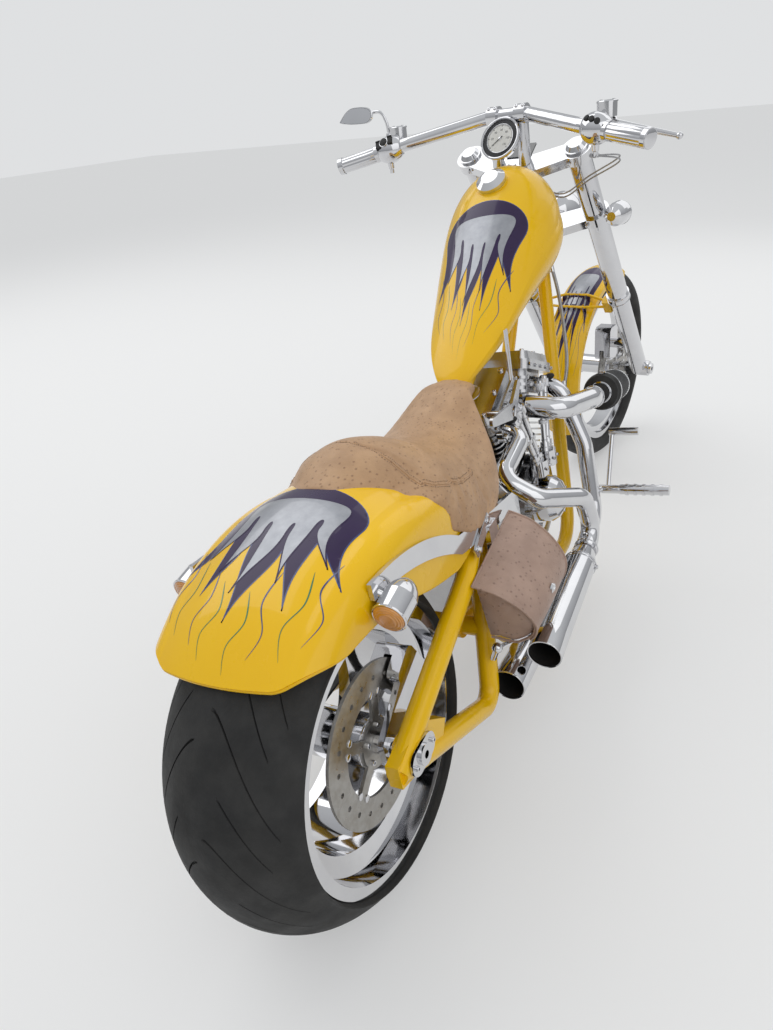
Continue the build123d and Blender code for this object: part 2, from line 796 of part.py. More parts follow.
# Primary drive cover, carried outboard by the crankshaft's housing
primary_front_radius = 112.0
primary_rear_radius = 100.0
primary_depth = 66.0
with BuildPart() as primary:
    with BuildSketch(Plane.XZ.offset(-primary_inner)) as shell:
        with Locations((crank.X, crank.Z)):
            Circle(primary_front_radius)
        with Locations((final_shaft.X, final_shaft.Z)):
            Circle(primary_rear_radius)
        Polygon(
            (final_shaft.X, final_shaft.Z + primary_rear_radius),
            (crank.X, crank.Z + primary_front_radius),
            (crank.X, crank.Z - primary_front_radius),
            (final_shaft.X, final_shaft.Z - primary_rear_radius),
            align=None,
        )
    extrude(shell.sketch, amount=-primary_depth)
    for centre, radius in ((crank, primary_front_radius - 24), (final_shaft, primary_rear_radius - 16)):
        outer = Vector(centre.X, primary_inner + primary_depth, centre.Z)
        add_rod(outer, outer + side * 12, 2 * radius, 2 * radius - 14)
    add_rod(crank + side * (case_half + fit), crank + side * (primary_inner + 1), 190)
keep(primary, "primary_cover")

# Final drive belt
with BuildPart() as belt:
    with BuildSketch(Plane.XZ.offset(-(pulley_offset - belt_width / 2))) as loop:
        for grow, mode in ((belt_thickness, Mode.ADD), (0, Mode.SUBTRACT)):
            big = pulley_radius + inner_gap + grow
            small = front_pulley_radius + grow
            reach = final_shaft - rear_axle
            gap = Vector(reach.X, 0, reach.Z).length
            tangent = math.acos((big - small) / gap)
            heading = math.atan2(reach.Z, reach.X)
            points = []
            for centre, radius, sign in (
                (rear_axle, big, 1), (final_shaft, small, 1), (final_shaft, small, -1), (rear_axle, big, -1)
            ):
                angle = heading + sign * tangent
                points.append((centre.X + radius * math.cos(angle), centre.Z + radius * math.sin(angle)))
            with Locations((rear_axle.X, rear_axle.Z)):
                Circle(big, mode=mode)
            with Locations((final_shaft.X, final_shaft.Z)):
                Circle(small, mode=mode)
            Polygon(*points, align=None, mode=mode)
    extrude(loop.sketch, amount=-belt_width)
keep(belt, "drive_belt")

# Oil tank under the seat
with BuildPart() as oil_tank:
    with BuildSketch(Plane.XZ.offset(-99.3)) as box:
        Polygon((440, 388), (600, 388), (600, 466), (480, 466), (440, 440), align=None)
    extrude(box.sketch, amount=198.6)
keep(oil_tank, "oil_tank")

# Carburettor, intake elbow and cone filter
intake_elbow = Vector(1150, -203, 512)
filter_mouth = Vector(1268, -205, 488)
with BuildPart() as air_filter:
    add_plate(Plane.XZ.offset(20), ((954.5, 532), (995, 532), (995, 590), (954.5, 590)), 68)
    add_tube((Vector(978, -84, 562), Vector(990, -172, 546), intake_elbow, filter_mouth), 58, (50, 90))
    direction = (filter_mouth - intake_elbow).normalized()
    add_rod(filter_mouth - direction * 12, filter_mouth, 58, 92)
    add_rod(filter_mouth, filter_mouth + direction * 26, 104)
    add_rod(filter_mouth + direction * 26, filter_mouth + direction * 143, 98, 74)
keep(air_filter, "air_filter")

# Exhausts: a bent header running into a slash-cut muffler
header_diameter = 46.0
muffler_diameter = 74.0
muffler_wall = 3.0
flange = 54.0
head_face = fin_radius + fit
exhausts = (
    (
        "front",
        (
            Vector(1142, -86, 562), Vector(1142, -124, 548), Vector(1122, -182, 390),
            Vector(1080, -204, 190), Vector(960, -204, 162), Vector(800, -202, 163),
        ),
        (60, 100, 70, 50),
        Vector(352, -197, 172),
    ),
    (
        "rear",
        (
            Vector(808, -86, 562), Vector(800, -128, 550), Vector(655, -122, 510), Vector(665, -200, 455),
            Vector(800, -262, 392), Vector(856, -266, 270), Vector(770, -262, 258),
        ),
        (36, 40, 40, 60, 42),
        Vector(400, -268, 228),
    ),
)
front_joint = exhausts[0][1][-1]
front_run = (exhausts[0][3] - front_joint).normalized()
for name, route, radii, tail in exhausts:
    joint = route[-1]
    run = (tail - joint).normalized()
    points = route[:-2] + (joint - run * (joint - route[-2]).length, joint + run)
    port = Vector(route[0].X, -head_face, route[0].Z)
    with BuildPart() as exhaust:
        add_tube(points, header_diameter, radii)
        add_rod(port, port - side * 14, flange)
        add_rod(joint - run * 16, joint, header_diameter + 10)
        add_rod(joint, joint + run * 50, header_diameter + 2, muffler_diameter)
        add_rod(joint + run * 50, tail, muffler_diameter)
        add_rod(tail, tail - run * 120, muffler_diameter - 2 * muffler_wall, mode=Mode.SUBTRACT)
        slash = Plane(origin=tail - run * 16, z_dir=run.rotate(Axis.Y, -28))
        split(bisect_by=slash, keep=Keep.BOTTOM)
        if name == "front":
            add_rod(Vector(700, -rail_offset, rail_height), Vector(700, -201, 165), 16)
            add_rod(
                Vector(600, -rail_offset, rail_height),
                Vector(800, -rail_offset, rail_height),
                frame_tube + 2 * fit,
                mode=Mode.SUBTRACT,
            )
        else:
            add_rod(joint + run * 130, front_joint + front_run * 160, 16)
            add_rod(
                front_joint + front_run * 60,
                front_joint + front_run * 300,
                muffler_diameter + 2 * fit,
                mode=Mode.SUBTRACT,
            )
    keep(exhaust, f"exhaust_{name}")

# Tool bag
with BuildPart() as bag:
    with BuildSketch(Plane(origin=(330, 0, 0), x_dir=(0, -1, 0), z_dir=(-1, 0, 0))) as end_face:
        with BuildLine():
            Polyline((bag_inner, 504), (bag_inner, 330), (246, 322))
            ThreePointArc((246, 322), (296, 396), (240, 482))
            Line((240, 482), (bag_inner, 504))
        make_face()
    extrude(end_face.sketch, amount=-185)
keep(bag, "tool_bag")

# Foot controls
peg_rings = 5
peg_start = 262.0
peg_pitch = 24.0
for name, hand in (("right", -1), ("left", 1)):
    with BuildPart() as control:
        add_rod(Vector(1104, hand * 120, 222), Vector(1104, hand * 172, 222), 36)
        add_rod(cradle_top(hand), cradle_knee(hand), frame_tube + 2 * fit, mode=Mode.SUBTRACT)
        add_rod(Vector(1104, hand * 162, 222), Vector(1222, hand * 190, 197), 22)
        add_rod(Vector(1222, hand * 176, 197), Vector(1222, hand * 246, 197), 26)
        add_rod(Vector(1222, hand * 246, 197), Vector(1222, hand * 384, 197), 30)
        for ring in range(peg_rings):
            groove = peg_start + ring * peg_pitch
            add_rod(Vector(1222, hand * groove, 197), Vector(1222, hand * (groove + 8), 197), 34)
        add_rod(Vector(1222, hand * 210, 197), Vector(1312, hand * 214, 345), 14)
        add_rod(Vector(1312, hand * 206, 345), Vector(1312, hand * 290, 345), 24)
    keep(control, f"foot_control_{name}")

# Side stand
stand_leg = 24.0
pad_diameter = 50.0
with BuildPart() as side_stand:
    add_rod(stand_pivot - hinge * boss_half, stand_pivot + hinge * boss_half, stand_boss)
    add_rod(stand_pivot + deployed * 8, stand_pivot + deployed * 44, 2 * boss_half - 4, stand_leg)
    add_rod(stand_pivot + deployed * 44, foot - deployed * 14, stand_leg)
    add_rod(foot, foot + ground_up * 8, pad_diameter)
    add_rod(foot + ground_up * 7, foot + ground_up * 20, pad_diameter, 20)
    add_rod(stand_pivot - hinge * 20, stand_pivot + hinge * 20, pin_diameter + 2 * fit, mode=Mode.SUBTRACT)
keep(side_stand, "side_stand")


# Fork: clamps, stem and legs
def steer_plane(up):
    """A plane square to the steering axis, with its first axis to the right and its second forward."""
    return Plane(origin=steer_point(up), x_dir=(0, -1, 0), z_dir=steer_up)


half_spacing = leg_spacing / 2
with BuildPart() as clamps:
    for up in (lower_clamp_height, upper_clamp_height):
        with BuildSketch(steer_plane(up - clamp_thickness / 2)) as yoke:
            Circle(38)
            with Locations((-half_spacing, fork_offset), (half_spacing, fork_offset)):
                Circle(leg_diameter / 2 + clamp_wall)
            Polygon(
                (-half_spacing, fork_offset - 34), (-30, -26), (30, -26), (half_spacing, fork_offset - 34),
                (half_spacing, fork_offset + 26), (30, 46), (-30, 46), (-half_spacing, fork_offset + 26),
                align=None,
            )
            with Locations((-half_spacing, fork_offset), (half_spacing, fork_offset)):
                Circle(leg_diameter / 2 + fit, mode=Mode.SUBTRACT)
        extrude(yoke.sketch, amount=clamp_thickness)
    add_rod(steer_point(lower_clamp_height), steer_point(upper_clamp_height + 22), stem_diameter)
keep(clamps, "fork_clamps", steered_pose)

for name, hand in (("right", -1), ("left", 1)):
    offset = hand * half_spacing
    with BuildPart() as leg:
        add_rod(
            steer_point(seal_height, fork_offset, offset),
            steer_point(upper_clamp_height + 20, fork_offset, offset),
            leg_diameter,
        )
        seal = steer_point(seal_height, fork_offset, offset)
        add_rod(steer_point(0, fork_offset, offset), seal, slider_diameter)
        add_rod(seal - steer_up * 26, seal + steer_up * 4, slider_diameter + 10)
        cap = steer_point(upper_clamp_height + 20, fork_offset, offset)
        add_rod(cap, cap + steer_up * 10, leg_diameter - 8, leg_diameter - 24)
        add_rod(front_axle + side * (offset - 38), front_axle + side * (offset + 38), 54)
        add_rod(
            front_axle + side * (offset - 60),
            front_axle + side * (offset + 60),
            axle_diameter + 2 * fit,
            mode=Mode.SUBTRACT,
        )
    keep(leg, f"fork_leg_{name}", steered_pose)

# Front fender and its brackets
front_fender_radius = 363.0
front_fender_half = 66.0
front_fender_wall = 3.0
stay_height = 352.0
stay_spread = 26.0
stay_diameter = 9.0
fender_start = -116.0
fender_end = 14.0
outward = Vector(math.sin(math.radians(fender_start)), 0, math.cos(math.radians(fender_start)))
start_plane = Plane(origin=front_axle, x_dir=(0, 1, 0), z_dir=outward.cross(Vector(0, -1, 0)))
with BuildPart() as front_fender:
    with BuildSketch(start_plane) as section:
        for inset, mode in ((0, Mode.ADD), (front_fender_wall, Mode.SUBTRACT)):
            half = front_fender_half - inset
            crown = front_fender_radius - inset
            base = 318 - inset
            with BuildLine():
                ThreePointArc((-half, 336), (0, crown), (half, 336))
                Polyline((half, 336), (half, base), (-half, base), (-half, 336))
            make_face(mode=mode)
    revolve(section.sketch, axis=Axis(front_axle, side), revolution_arc=fender_end - fender_start)
    stay_end = half_spacing - slider_diameter / 2 - fit
    for hand in (-1, 1):
        block = Plane(
            origin=steer_point(stay_height, fork_offset, hand * (stay_end - 14)), x_dir=side, z_dir=steer_up
        )
        with BuildSketch(block) as pad:
            RectangleRounded(28, 30, 6)
        extrude(pad.sketch, amount=24, both=True)
    for ahead in (-stay_spread, stay_spread):
        along = front_fender_radius + 3
        height = math.sqrt(along**2 - ahead**2)
        add_tube(
            (
                steer_point(stay_height, fork_offset + ahead / 3, stay_end - 8),
                steer_point(height, fork_offset + ahead, front_fender_half * 0.6),
                steer_point(height, fork_offset + ahead, -front_fender_half * 0.6),
                steer_point(stay_height, fork_offset + ahead / 3, 8 - stay_end),
            ),
            stay_diameter,
            30,
        )
keep(front_fender, "front_fender", steered_pose)

# Front caliper
caliper_face = front_disc_offset + 30
with BuildPart() as front_caliper:
    with BuildSketch(Plane(front_axle - side * caliper_face, x_dir=(1, 0, 0), z_dir=(0, 1, 0))) as block:
        with Locations((-84, -116)):
            RectangleRounded(70, 118, 16)
    extrude(block.sketch, amount=56)
    add_rod(
        front_axle - side * (front_disc_offset + disc_thickness / 2 + 5),
        front_axle - side * (front_disc_offset - disc_thickness / 2 - 5),
        2 * front_disc_radius + 10,
        mode=Mode.SUBTRACT,
    )
    mid = front_axle + Vector(-82, 0, 116)
    add_rod(mid - side * (caliper_face - 2), mid - side * half_spacing, 36)
    add_rod(
        steer_point(0, fork_offset, -half_spacing),
        steer_point(seal_height, fork_offset, -half_spacing),
        slider_diameter + 2 * fit,
        mode=Mode.SUBTRACT,
    )
keep(front_caliper, "front_caliper", steered_pose)

# Rear caliper on a carrier plate that hangs on the axle
caliper_centre = rear_axle + Vector(118, 0, 62)
with BuildPart() as rear_caliper:
    with BuildSketch(
        Plane(origin=-side * (rear_disc_offset + 32), x_dir=(1, 0, 0), z_dir=(0, 1, 0))
    ) as block:
        with Locations(Location((caliper_centre.X, -caliper_centre.Z, 0), -28)):
            RectangleRounded(70, 110, 16)
    extrude(block.sketch, amount=64)
    add_rod(
        rear_axle - side * (rear_disc_offset + disc_thickness / 2 + 5),
        rear_axle - side * (rear_disc_offset - disc_thickness / 2 - 5),
        2 * rear_disc_radius + 10,
        mode=Mode.SUBTRACT,
    )
    carrier = Plane(origin=-side * (rear_disc_offset + 20), x_dir=(1, 0, 0), z_dir=(0, -1, 0))
    add_plate(carrier, ((-24, 302), (-24, 345), (90, 420), (120, 350), (20, 298)), 12)
    add_rod(rear_axle - side * 80, rear_axle - side * 160, spacer_diameter + 2 * fit, mode=Mode.SUBTRACT)
keep(rear_caliper, "rear_caliper")

# Handlebar and risers
bar_diameter = 34.0
bar_table = (
    # left of the middle, above the upper clamp, ahead of the steering axis
    (433, 181, -129),
    (245, 169, -51),
    (50, 130, 63),
)


def bar_point(row, hand):
    """One of the handlebar's corners."""
    left, above, ahead = bar_table[row]
    return steer_point(upper_clamp_height + above, ahead, hand * left)


bar_middle = (bar_point(2, 1) + bar_point(2, -1)) / 2
riser_spacing = 40.0
with BuildPart() as handlebar:
    corners = [bar_point(row, 1) for row in (0, 1, 2)] + [bar_point(row, -1) for row in (2, 1, 0)]
    add_tube(corners, bar_diameter, (60, 30, 30, 60))
    for hand in (-1, 1):
        foot = steer_point(upper_clamp_height + clamp_thickness / 2 + fit, 0, hand * riser_spacing)
        head = bar_middle + side * hand * riser_spacing
        add_rod(foot, foot + steer_up * 18, 42, 40)
        add_rod(foot + steer_up * 10, head, 32)
        add_rod(head - side * 15, head + side * 15, bar_diameter + 14)
keep(handlebar, "handlebar", steered_pose)

grip_diameter = 38.0
grip_length = 116.0
housing_start = 118.0
housing_length = 66.0
housing_radius = 35.0
perch_inset = 146.0
perch_diameter = 26.0
perch_reach = Vector(58, 0, 16)
reservoir_diameter = 46.0
reservoir_height = 30.0


def bar_place(inset, hand=1):
    """A place on the handlebar's outer run, at a distance in from its end."""
    end = bar_point(0, hand)
    return end + (bar_point(1, hand) - end).normalized() * inset


for name, hand in (("right", -1), ("left", 1)):
    end = bar_point(0, hand)
    inward = (bar_point(1, hand) - end).normalized()
    perch = bar_place(perch_inset, hand)
    reach_end = perch + perch_reach
    with BuildPart() as control:
        add_rod(end - inward * 2, end + inward * grip_length, grip_diameter)
        add_rod(end - inward * 4, end + inward * 8, grip_diameter + 6)
        add_rod(end + inward * (grip_length - 8), end + inward * (housing_start + 2), grip_diameter + 6)
        start = bar_place(housing_start, hand)
        outward = inward.cross(side).normalized()
        with BuildSketch(Plane(origin=start, x_dir=inward, z_dir=inward.cross(outward))) as shell:
            with BuildLine():
                ThreePointArc(
                    (0, grip_diameter / 2 + 2),
                    (housing_length * 0.5, housing_radius),
                    (housing_length, bar_diameter / 2 + 4),
                )
                Polyline(
                    (housing_length, bar_diameter / 2 + 4),
                    (housing_length, 0),
                    (0, 0),
                    (0, grip_diameter / 2 + 2),
                )
            make_face()
        revolve(shell.sketch, axis=Axis(start, inward))
        add_rod(perch, reach_end, perch_diameter)
        add_rod(reach_end - Vector(14, 0, 10), reach_end + Vector(20, 0, -10), 20)
        add_rod(
            reach_end + Vector(-4, 0, 4), reach_end + Vector(-4, 0, 4 + reservoir_height), reservoir_diameter
        )
        tip = end + Vector(110, hand * 32, -8)
        add_rod(reach_end + Vector(6, 0, -6), tip, 17, 11)
        with Locations(tip):
            Sphere(8)
        add_rod(
            end - inward * 4, end + inward * 190, bar_diameter + 2 * fit, mode=Mode.SUBTRACT
        )
    keep(control, f"hand_control_{name}", steered_pose)

with BuildPart() as mirror:
    perch = bar_place(perch_inset)
    seat_point = perch + perch_reach + Vector(-4, 0, 18)
    base = seat_point + side * (reservoir_diameter / 2 + 10)
    elbow = base + Vector(-4, 10, 66)
    glass = base + Vector(-10, 100, 57)
    add_rod(seat_point, base + side * 4, 12)
    add_tube((base, elbow, glass), 9, 34)
    with BuildSketch(Plane(origin=glass, x_dir=(0, 1, 0), z_dir=(-1, 0, 0.1))) as outline:
        Ellipse(58, 24)
    extrude(outline.sketch, amount=10)
    add_rod(
        seat_point - Vector(0, 0, 40), seat_point + Vector(0, 0, 40), reservoir_diameter + 2 * fit,
        mode=Mode.SUBTRACT,
    )
keep(mirror, "mirror_left", steered_pose)

gauge_normal = Vector(-0.86, 0, 0.5).normalized()
gauge_place = bar_middle + Vector(-53, 0, -47)
gauge_radius = 55.0
gauge_depth = 36.0
bezel_depth = 8.0
with BuildPart() as gauge:
    add_rod(gauge_place - gauge_normal * bezel_depth, gauge_place, 2 * gauge_radius)
    add_rod(
        gauge_place - gauge_normal * bezel_depth,
        gauge_place - gauge_normal * gauge_depth,
        2 * gauge_radius - 6,
        2 * gauge_radius - 34,
    )
    add_rod(gauge_place - gauge_normal * (gauge_depth - 6), bar_middle, 22)
    add_rod(
        bar_middle - side * 2 * gauge_radius, bar_middle + side * 2 * gauge_radius, bar_diameter + 2 * fit,
        mode=Mode.SUBTRACT,
    )
keep(gauge, "gauge", steered_pose)

lamp_radius = 58.0
lamp_drop = 82.0
lamp_reach = 160.0
with BuildPart() as headlight:
    lamp = steer_point(lower_clamp_height - lamp_drop, lamp_reach)
    beam = Vector(0.99, 0, -0.1).normalized()
    with BuildSketch(Plane(origin=lamp, x_dir=beam, z_dir=side)) as bowl:
        with BuildLine():
            Polyline((34, 0), (38, lamp_radius - 6), (30, lamp_radius), (6, lamp_radius))
            ThreePointArc((6, lamp_radius), (-48, 0.72 * lamp_radius), (-84, 0))
            Line((-84, 0), (34, 0))
        make_face()
    revolve(bowl.sketch, axis=Axis(lamp, beam))
    hanger = steer_point(lower_clamp_height - 8, lamp_reach - 40)
    add_rod(steer_point(lower_clamp_height, 47.5), hanger, 22)
    add_rod(hanger, lamp, 22)
keep(headlight, "headlight", steered_pose)

for name, hand in (("right", -1), ("left", 1)):
    start = steer_point(lower_clamp_height, fork_offset, hand * (half_spacing + leg_diameter / 2))
    centre = steer_point(lower_clamp_height + 18, fork_offset - 20, hand * (half_spacing + 74))
    with BuildPart() as signal:
        add_rod(start, centre, 12)
        for ahead, behind, diameter, end_diameter in (
            (24, 0, 64, None),
            (0, -16, 64, 60),
            (-16, -32, 60, 46),
            (-32, -44, 46, 24),
        ):
            add_rod(centre + Vector(ahead, 0, 0), centre + Vector(behind, 0, 0), diameter, end_diameter)
        add_rod(
            steer_point(lower_clamp_height - 30, fork_offset, hand * half_spacing),
            steer_point(lower_clamp_height + 30, fork_offset, hand * half_spacing),
            leg_diameter + 2 * (clamp_wall + fit),
            mode=Mode.SUBTRACT,
        )
    keep(signal, f"front_signal_{name}", steered_pose)

# Write the pieces about the middle of the whole machine, on the ground
boxes = [piece.bounding_box() for piece in finished]
middle_x = (min(box.min.X for box in boxes) + max(box.max.X for box in boxes)) / 2
middle_y = (min(box.min.Y for box in boxes) + max(box.max.Y for box in boxes)) / 2
centring = Location((-middle_x, -middle_y, 0))
os.makedirs("parts", exist_ok=True)
for piece in finished:
    centred = piece.moved(centring)
    centred.label = piece.label
    export_step(centred, f"parts/{piece.label}.step")
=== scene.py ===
import json
import math

import bmesh
import bpy
from mathutils import Matrix, Vector
from mathutils.bvhtree import BVHTree
from mathutils.geometry import delaunay_2d_cdt


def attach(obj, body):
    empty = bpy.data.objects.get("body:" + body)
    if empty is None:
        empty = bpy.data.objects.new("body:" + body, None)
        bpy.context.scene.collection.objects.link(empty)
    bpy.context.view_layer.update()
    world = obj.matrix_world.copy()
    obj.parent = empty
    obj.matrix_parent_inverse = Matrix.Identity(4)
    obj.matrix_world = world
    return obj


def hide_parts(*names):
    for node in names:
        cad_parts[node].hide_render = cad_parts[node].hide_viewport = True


bl_info = {
    "name": "Chopper motorcycle dressing",
    "version": (1, 0, 0),
    "blender": (4, 5, 0),
    "location": "View3D > Sidebar > Chopper",
    "description": "Builds the paint, leather, rubber, chrome and small parts round a chopper's frame",
    "category": "Object",
}

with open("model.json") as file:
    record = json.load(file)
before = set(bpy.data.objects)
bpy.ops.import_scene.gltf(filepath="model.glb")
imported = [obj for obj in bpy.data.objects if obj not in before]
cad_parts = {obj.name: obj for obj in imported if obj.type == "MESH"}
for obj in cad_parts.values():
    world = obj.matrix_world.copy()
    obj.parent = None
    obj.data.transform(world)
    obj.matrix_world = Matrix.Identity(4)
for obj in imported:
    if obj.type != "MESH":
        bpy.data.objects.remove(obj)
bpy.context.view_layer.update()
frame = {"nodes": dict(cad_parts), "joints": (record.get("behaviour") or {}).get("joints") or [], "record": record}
joints = {joint["name"]: joint for joint in frame["joints"]}

# The machine's own upright frame, found from its wheels and steering
REAR_RADIUS = 0.325
FRONT_RADIUS = 0.351
WHEELBASE = 1.972
RAKE = math.radians(36)
FORK_OFFSET = 62
REST_STEER = math.radians(-10.5)
spindle = Vector(joints["rear_wheel_spin"]["axis"])
forward = (Vector((1, 0, 0)) - spindle * spindle.x).normalized()
upward = forward.cross(spindle)
stand = Matrix((forward, spindle, upward)).transposed().to_4x4()
stand.translation = Vector(joints["rear_wheel_spin"]["pos_m"]) - upward * REAR_RADIUS
steer_axis = Vector(joints["steering_turn"]["axis"])
steer_place = Matrix.Translation(joints["steering_turn"]["pos_m"])
steered = steer_place @ Matrix.Rotation(REST_STEER, 4, steer_axis) @ steer_place.inverted() @ stand
steer_up = Vector((-math.sin(RAKE), 0, math.cos(RAKE)))
steer_forward = Vector((math.cos(RAKE), 0, math.sin(RAKE)))
front_axle = Vector((WHEELBASE, 0, FRONT_RADIUS))
rear_axle = Vector((0, 0, REAR_RADIUS))
side = Vector((0, 1, 0))


def steer_point(up, ahead=0.0, left=0.0):
    """A place given in millimetres up the steering axis, ahead of it and to the left."""
    return front_axle + (steer_up * up + steer_forward * (ahead - FORK_OFFSET) + side * left) / 1000


# Shader node groups


def group(name, inputs, outputs):
    """A new shader group with named sockets, and its input and output nodes."""
    tree = bpy.data.node_groups.new(name, "ShaderNodeTree")
    for label, kind, default in inputs:
        socket = tree.interface.new_socket(label, in_out="INPUT", socket_type=kind)
        socket.default_value = default
    for label, kind in outputs:
        tree.interface.new_socket(label, in_out="OUTPUT", socket_type=kind)
    return tree, tree.nodes.new("NodeGroupInput"), tree.nodes.new("NodeGroupOutput")


def fill(made, **values):
    """Fill in some settings and input sockets of a node."""
    for key, value in values.items():
        if hasattr(made, key):
            setattr(made, key, value)
        else:
            made.inputs[key.replace("_", " ")].default_value = value
    return made


def node(tree, kind, **values):
    """A new node with some of its settings and input sockets filled in."""
    return fill(tree.nodes.new(kind), **values)


def object_coordinates(tree, scale):
    """Object coordinates times a scale that comes from a socket."""
    place = node(tree, "ShaderNodeTexCoord")
    grow = node(tree, "ShaderNodeVectorMath", operation="SCALE")
    tree.links.new(place.outputs["Object"], grow.inputs[0])
    tree.links.new(scale, grow.inputs["Scale"])
    return grow.outputs[0]


def make_wear_group():
    """Cloudy and fine variation of a finish: a mask, a roughness and a height."""
    tree, given, result = group(
        "finish_variation",
        (
            ("Scale", "NodeSocketFloat", 20.0),
            ("Roughness Low", "NodeSocketFloat", 0.1),
            ("Roughness High", "NodeSocketFloat", 0.3),
        ),
        (("Mask", "NodeSocketFloat"), ("Roughness", "NodeSocketFloat"), ("Height", "NodeSocketFloat")),
    )
    link = tree.links.new
    where = object_coordinates(tree, given.outputs["Scale"])
    cloud = node(tree, "ShaderNodeTexNoise", Scale=1.0, Detail=6.0, Roughness=0.6)
    fine = node(tree, "ShaderNodeTexNoise", Scale=14.0, Detail=3.0)
    spread = node(tree, "ShaderNodeMapRange", From_Min=0.3, From_Max=0.7)
    link(where, cloud.inputs["Vector"])
    link(where, fine.inputs["Vector"])
    link(cloud.outputs["Fac"], spread.inputs["Value"])
    link(given.outputs["Roughness Low"], spread.inputs["To Min"])
    link(given.outputs["Roughness High"], spread.inputs["To Max"])
    link(cloud.outputs["Fac"], result.inputs["Mask"])
    link(spread.outputs["Result"], result.inputs["Roughness"])
    link(fine.outputs["Fac"], result.inputs["Height"])
    return tree


def make_hide_group():
    """Hide with scattered raised quill marks, fine grain and a mottled colour."""
    tree, given, result = group(
        "quilled_hide",
        (
            ("Marks", "NodeSocketFloat", 60.0),
            ("Colour", "NodeSocketColor", (0.4, 0.25, 0.14, 1)),
            ("Dark Colour", "NodeSocketColor", (0.25, 0.15, 0.08, 1)),
        ),
        (("Colour", "NodeSocketColor"), ("Height", "NodeSocketFloat"), ("Roughness", "NodeSocketFloat")),
    )
    link = tree.links.new
    where = object_coordinates(tree, given.outputs["Marks"])
    spots = node(tree, "ShaderNodeTexVoronoi", Scale=1.0, Randomness=0.8)
    bump = node(tree, "ShaderNodeMapRange", interpolation_type="SMOOTHSTEP")
    fill(bump, From_Min=0.08, From_Max=0.34, To_Min=1.0, To_Max=0.0)
    grain = node(tree, "ShaderNodeTexVoronoi", Scale=16.0, feature="DISTANCE_TO_EDGE")
    cloud = node(tree, "ShaderNodeTexNoise", Scale=0.25, Detail=4.0)
    add = node(tree, "ShaderNodeMath", operation="MULTIPLY_ADD")
    tint = node(tree, "ShaderNodeMix", data_type="RGBA")
    soft = node(tree, "ShaderNodeMapRange", From_Min=0.35, From_Max=0.65, To_Min=0.0, To_Max=0.3)
    for target in (spots, grain, cloud):
        link(where, target.inputs["Vector"])
    link(spots.outputs["Distance"], bump.inputs["Value"])
    link(grain.outputs["Distance"], add.inputs[0])
    add.inputs[1].default_value = 0.35
    link(bump.outputs["Result"], add.inputs[2])
    link(add.outputs[0], result.inputs["Height"])
    link(cloud.outputs["Fac"], soft.inputs["Value"])
    mix = node(tree, "ShaderNodeMath", operation="MAXIMUM")
    share = node(tree, "ShaderNodeMath", operation="MULTIPLY")
    link(bump.outputs["Result"], share.inputs[0])
    share.inputs[1].default_value = 0.7
    link(soft.outputs["Result"], mix.inputs[0])
    link(share.outputs[0], mix.inputs[1])
    link(mix.outputs[0], tint.inputs["Factor"])
    link(given.outputs["Colour"], tint.inputs[6])
    link(given.outputs["Dark Colour"], tint.inputs[7])
    link(tint.outputs[2], result.inputs["Colour"])
    rough = node(tree, "ShaderNodeMapRange", To_Min=0.38, To_Max=0.62)
    link(cloud.outputs["Fac"], rough.inputs["Value"])
    link(rough.outputs["Result"], result.inputs["Roughness"])
    return tree


def make_mottle_group():
    """A colour that drifts between two shades."""
    tree, given, result = group(
        "mottled_colour",
        (
            ("Scale", "NodeSocketFloat", 10.0),
            ("Colour", "NodeSocketColor", (0.5, 0.5, 0.5, 1)),
            ("Second Colour", "NodeSocketColor", (0.4, 0.4, 0.4, 1)),
            ("Low", "NodeSocketFloat", 0.35),
            ("High", "NodeSocketFloat", 0.7),
        ),
        (("Colour", "NodeSocketColor"),),
    )
    link = tree.links.new
    where = object_coordinates(tree, given.outputs["Scale"])
    cloud = node(tree, "ShaderNodeTexNoise", Scale=1.0, Detail=8.0, Roughness=0.62)
    spread = node(tree, "ShaderNodeMapRange")
    tint = node(tree, "ShaderNodeMix", data_type="RGBA")
    link(where, cloud.inputs["Vector"])
    link(cloud.outputs["Fac"], spread.inputs["Value"])
    link(given.outputs["Low"], spread.inputs["From Min"])
    link(given.outputs["High"], spread.inputs["From Max"])
    link(spread.outputs["Result"], tint.inputs["Factor"])
    link(given.outputs["Colour"], tint.inputs[6])
    link(given.outputs["Second Colour"], tint.inputs[7])
    link(tint.outputs[2], result.inputs["Colour"])
    return tree


# Materials

materials = {}


def new_material(name):
    """A material kept under its name, with its tree and its shader."""
    made = bpy.data.materials.new(name)
    made.use_nodes = True
    materials[name] = made
    return made, made.node_tree, made.node_tree.nodes["Principled BSDF"]


def finish(
    name, colour, second, rough, metallic=0.0, coat=0.0, scale=20.0, bump=0.0, spread=(0.35, 0.7), **sockets
):
    """A Principled material whose colour and roughness vary over the surface."""
    _, tree, shader = new_material(name)
    wear = node(tree, "ShaderNodeGroup", node_tree=bpy.data.node_groups["finish_variation"])
    tint = node(tree, "ShaderNodeGroup", node_tree=bpy.data.node_groups["mottled_colour"])
    fill(wear, Scale=scale, Roughness_Low=rough[0], Roughness_High=rough[1])
    fill(tint, Scale=scale * 0.7, Colour=(*colour, 1), Second_Colour=(*second, 1))
    fill(tint, Low=spread[0], High=spread[1])
    tree.links.new(tint.outputs["Colour"], shader.inputs["Base Color"])
    tree.links.new(wear.outputs["Roughness"], shader.inputs["Roughness"])
    fill(shader, Metallic=metallic, Coat_Weight=coat, Coat_Roughness=0.03, **sockets)
    if bump > 0:
        raised = node(tree, "ShaderNodeBump", Strength=1.0, Distance=bump)
        tree.links.new(wear.outputs["Height"], raised.inputs["Height"])
        tree.links.new(raised.outputs["Normal"], shader.inputs["Normal"])


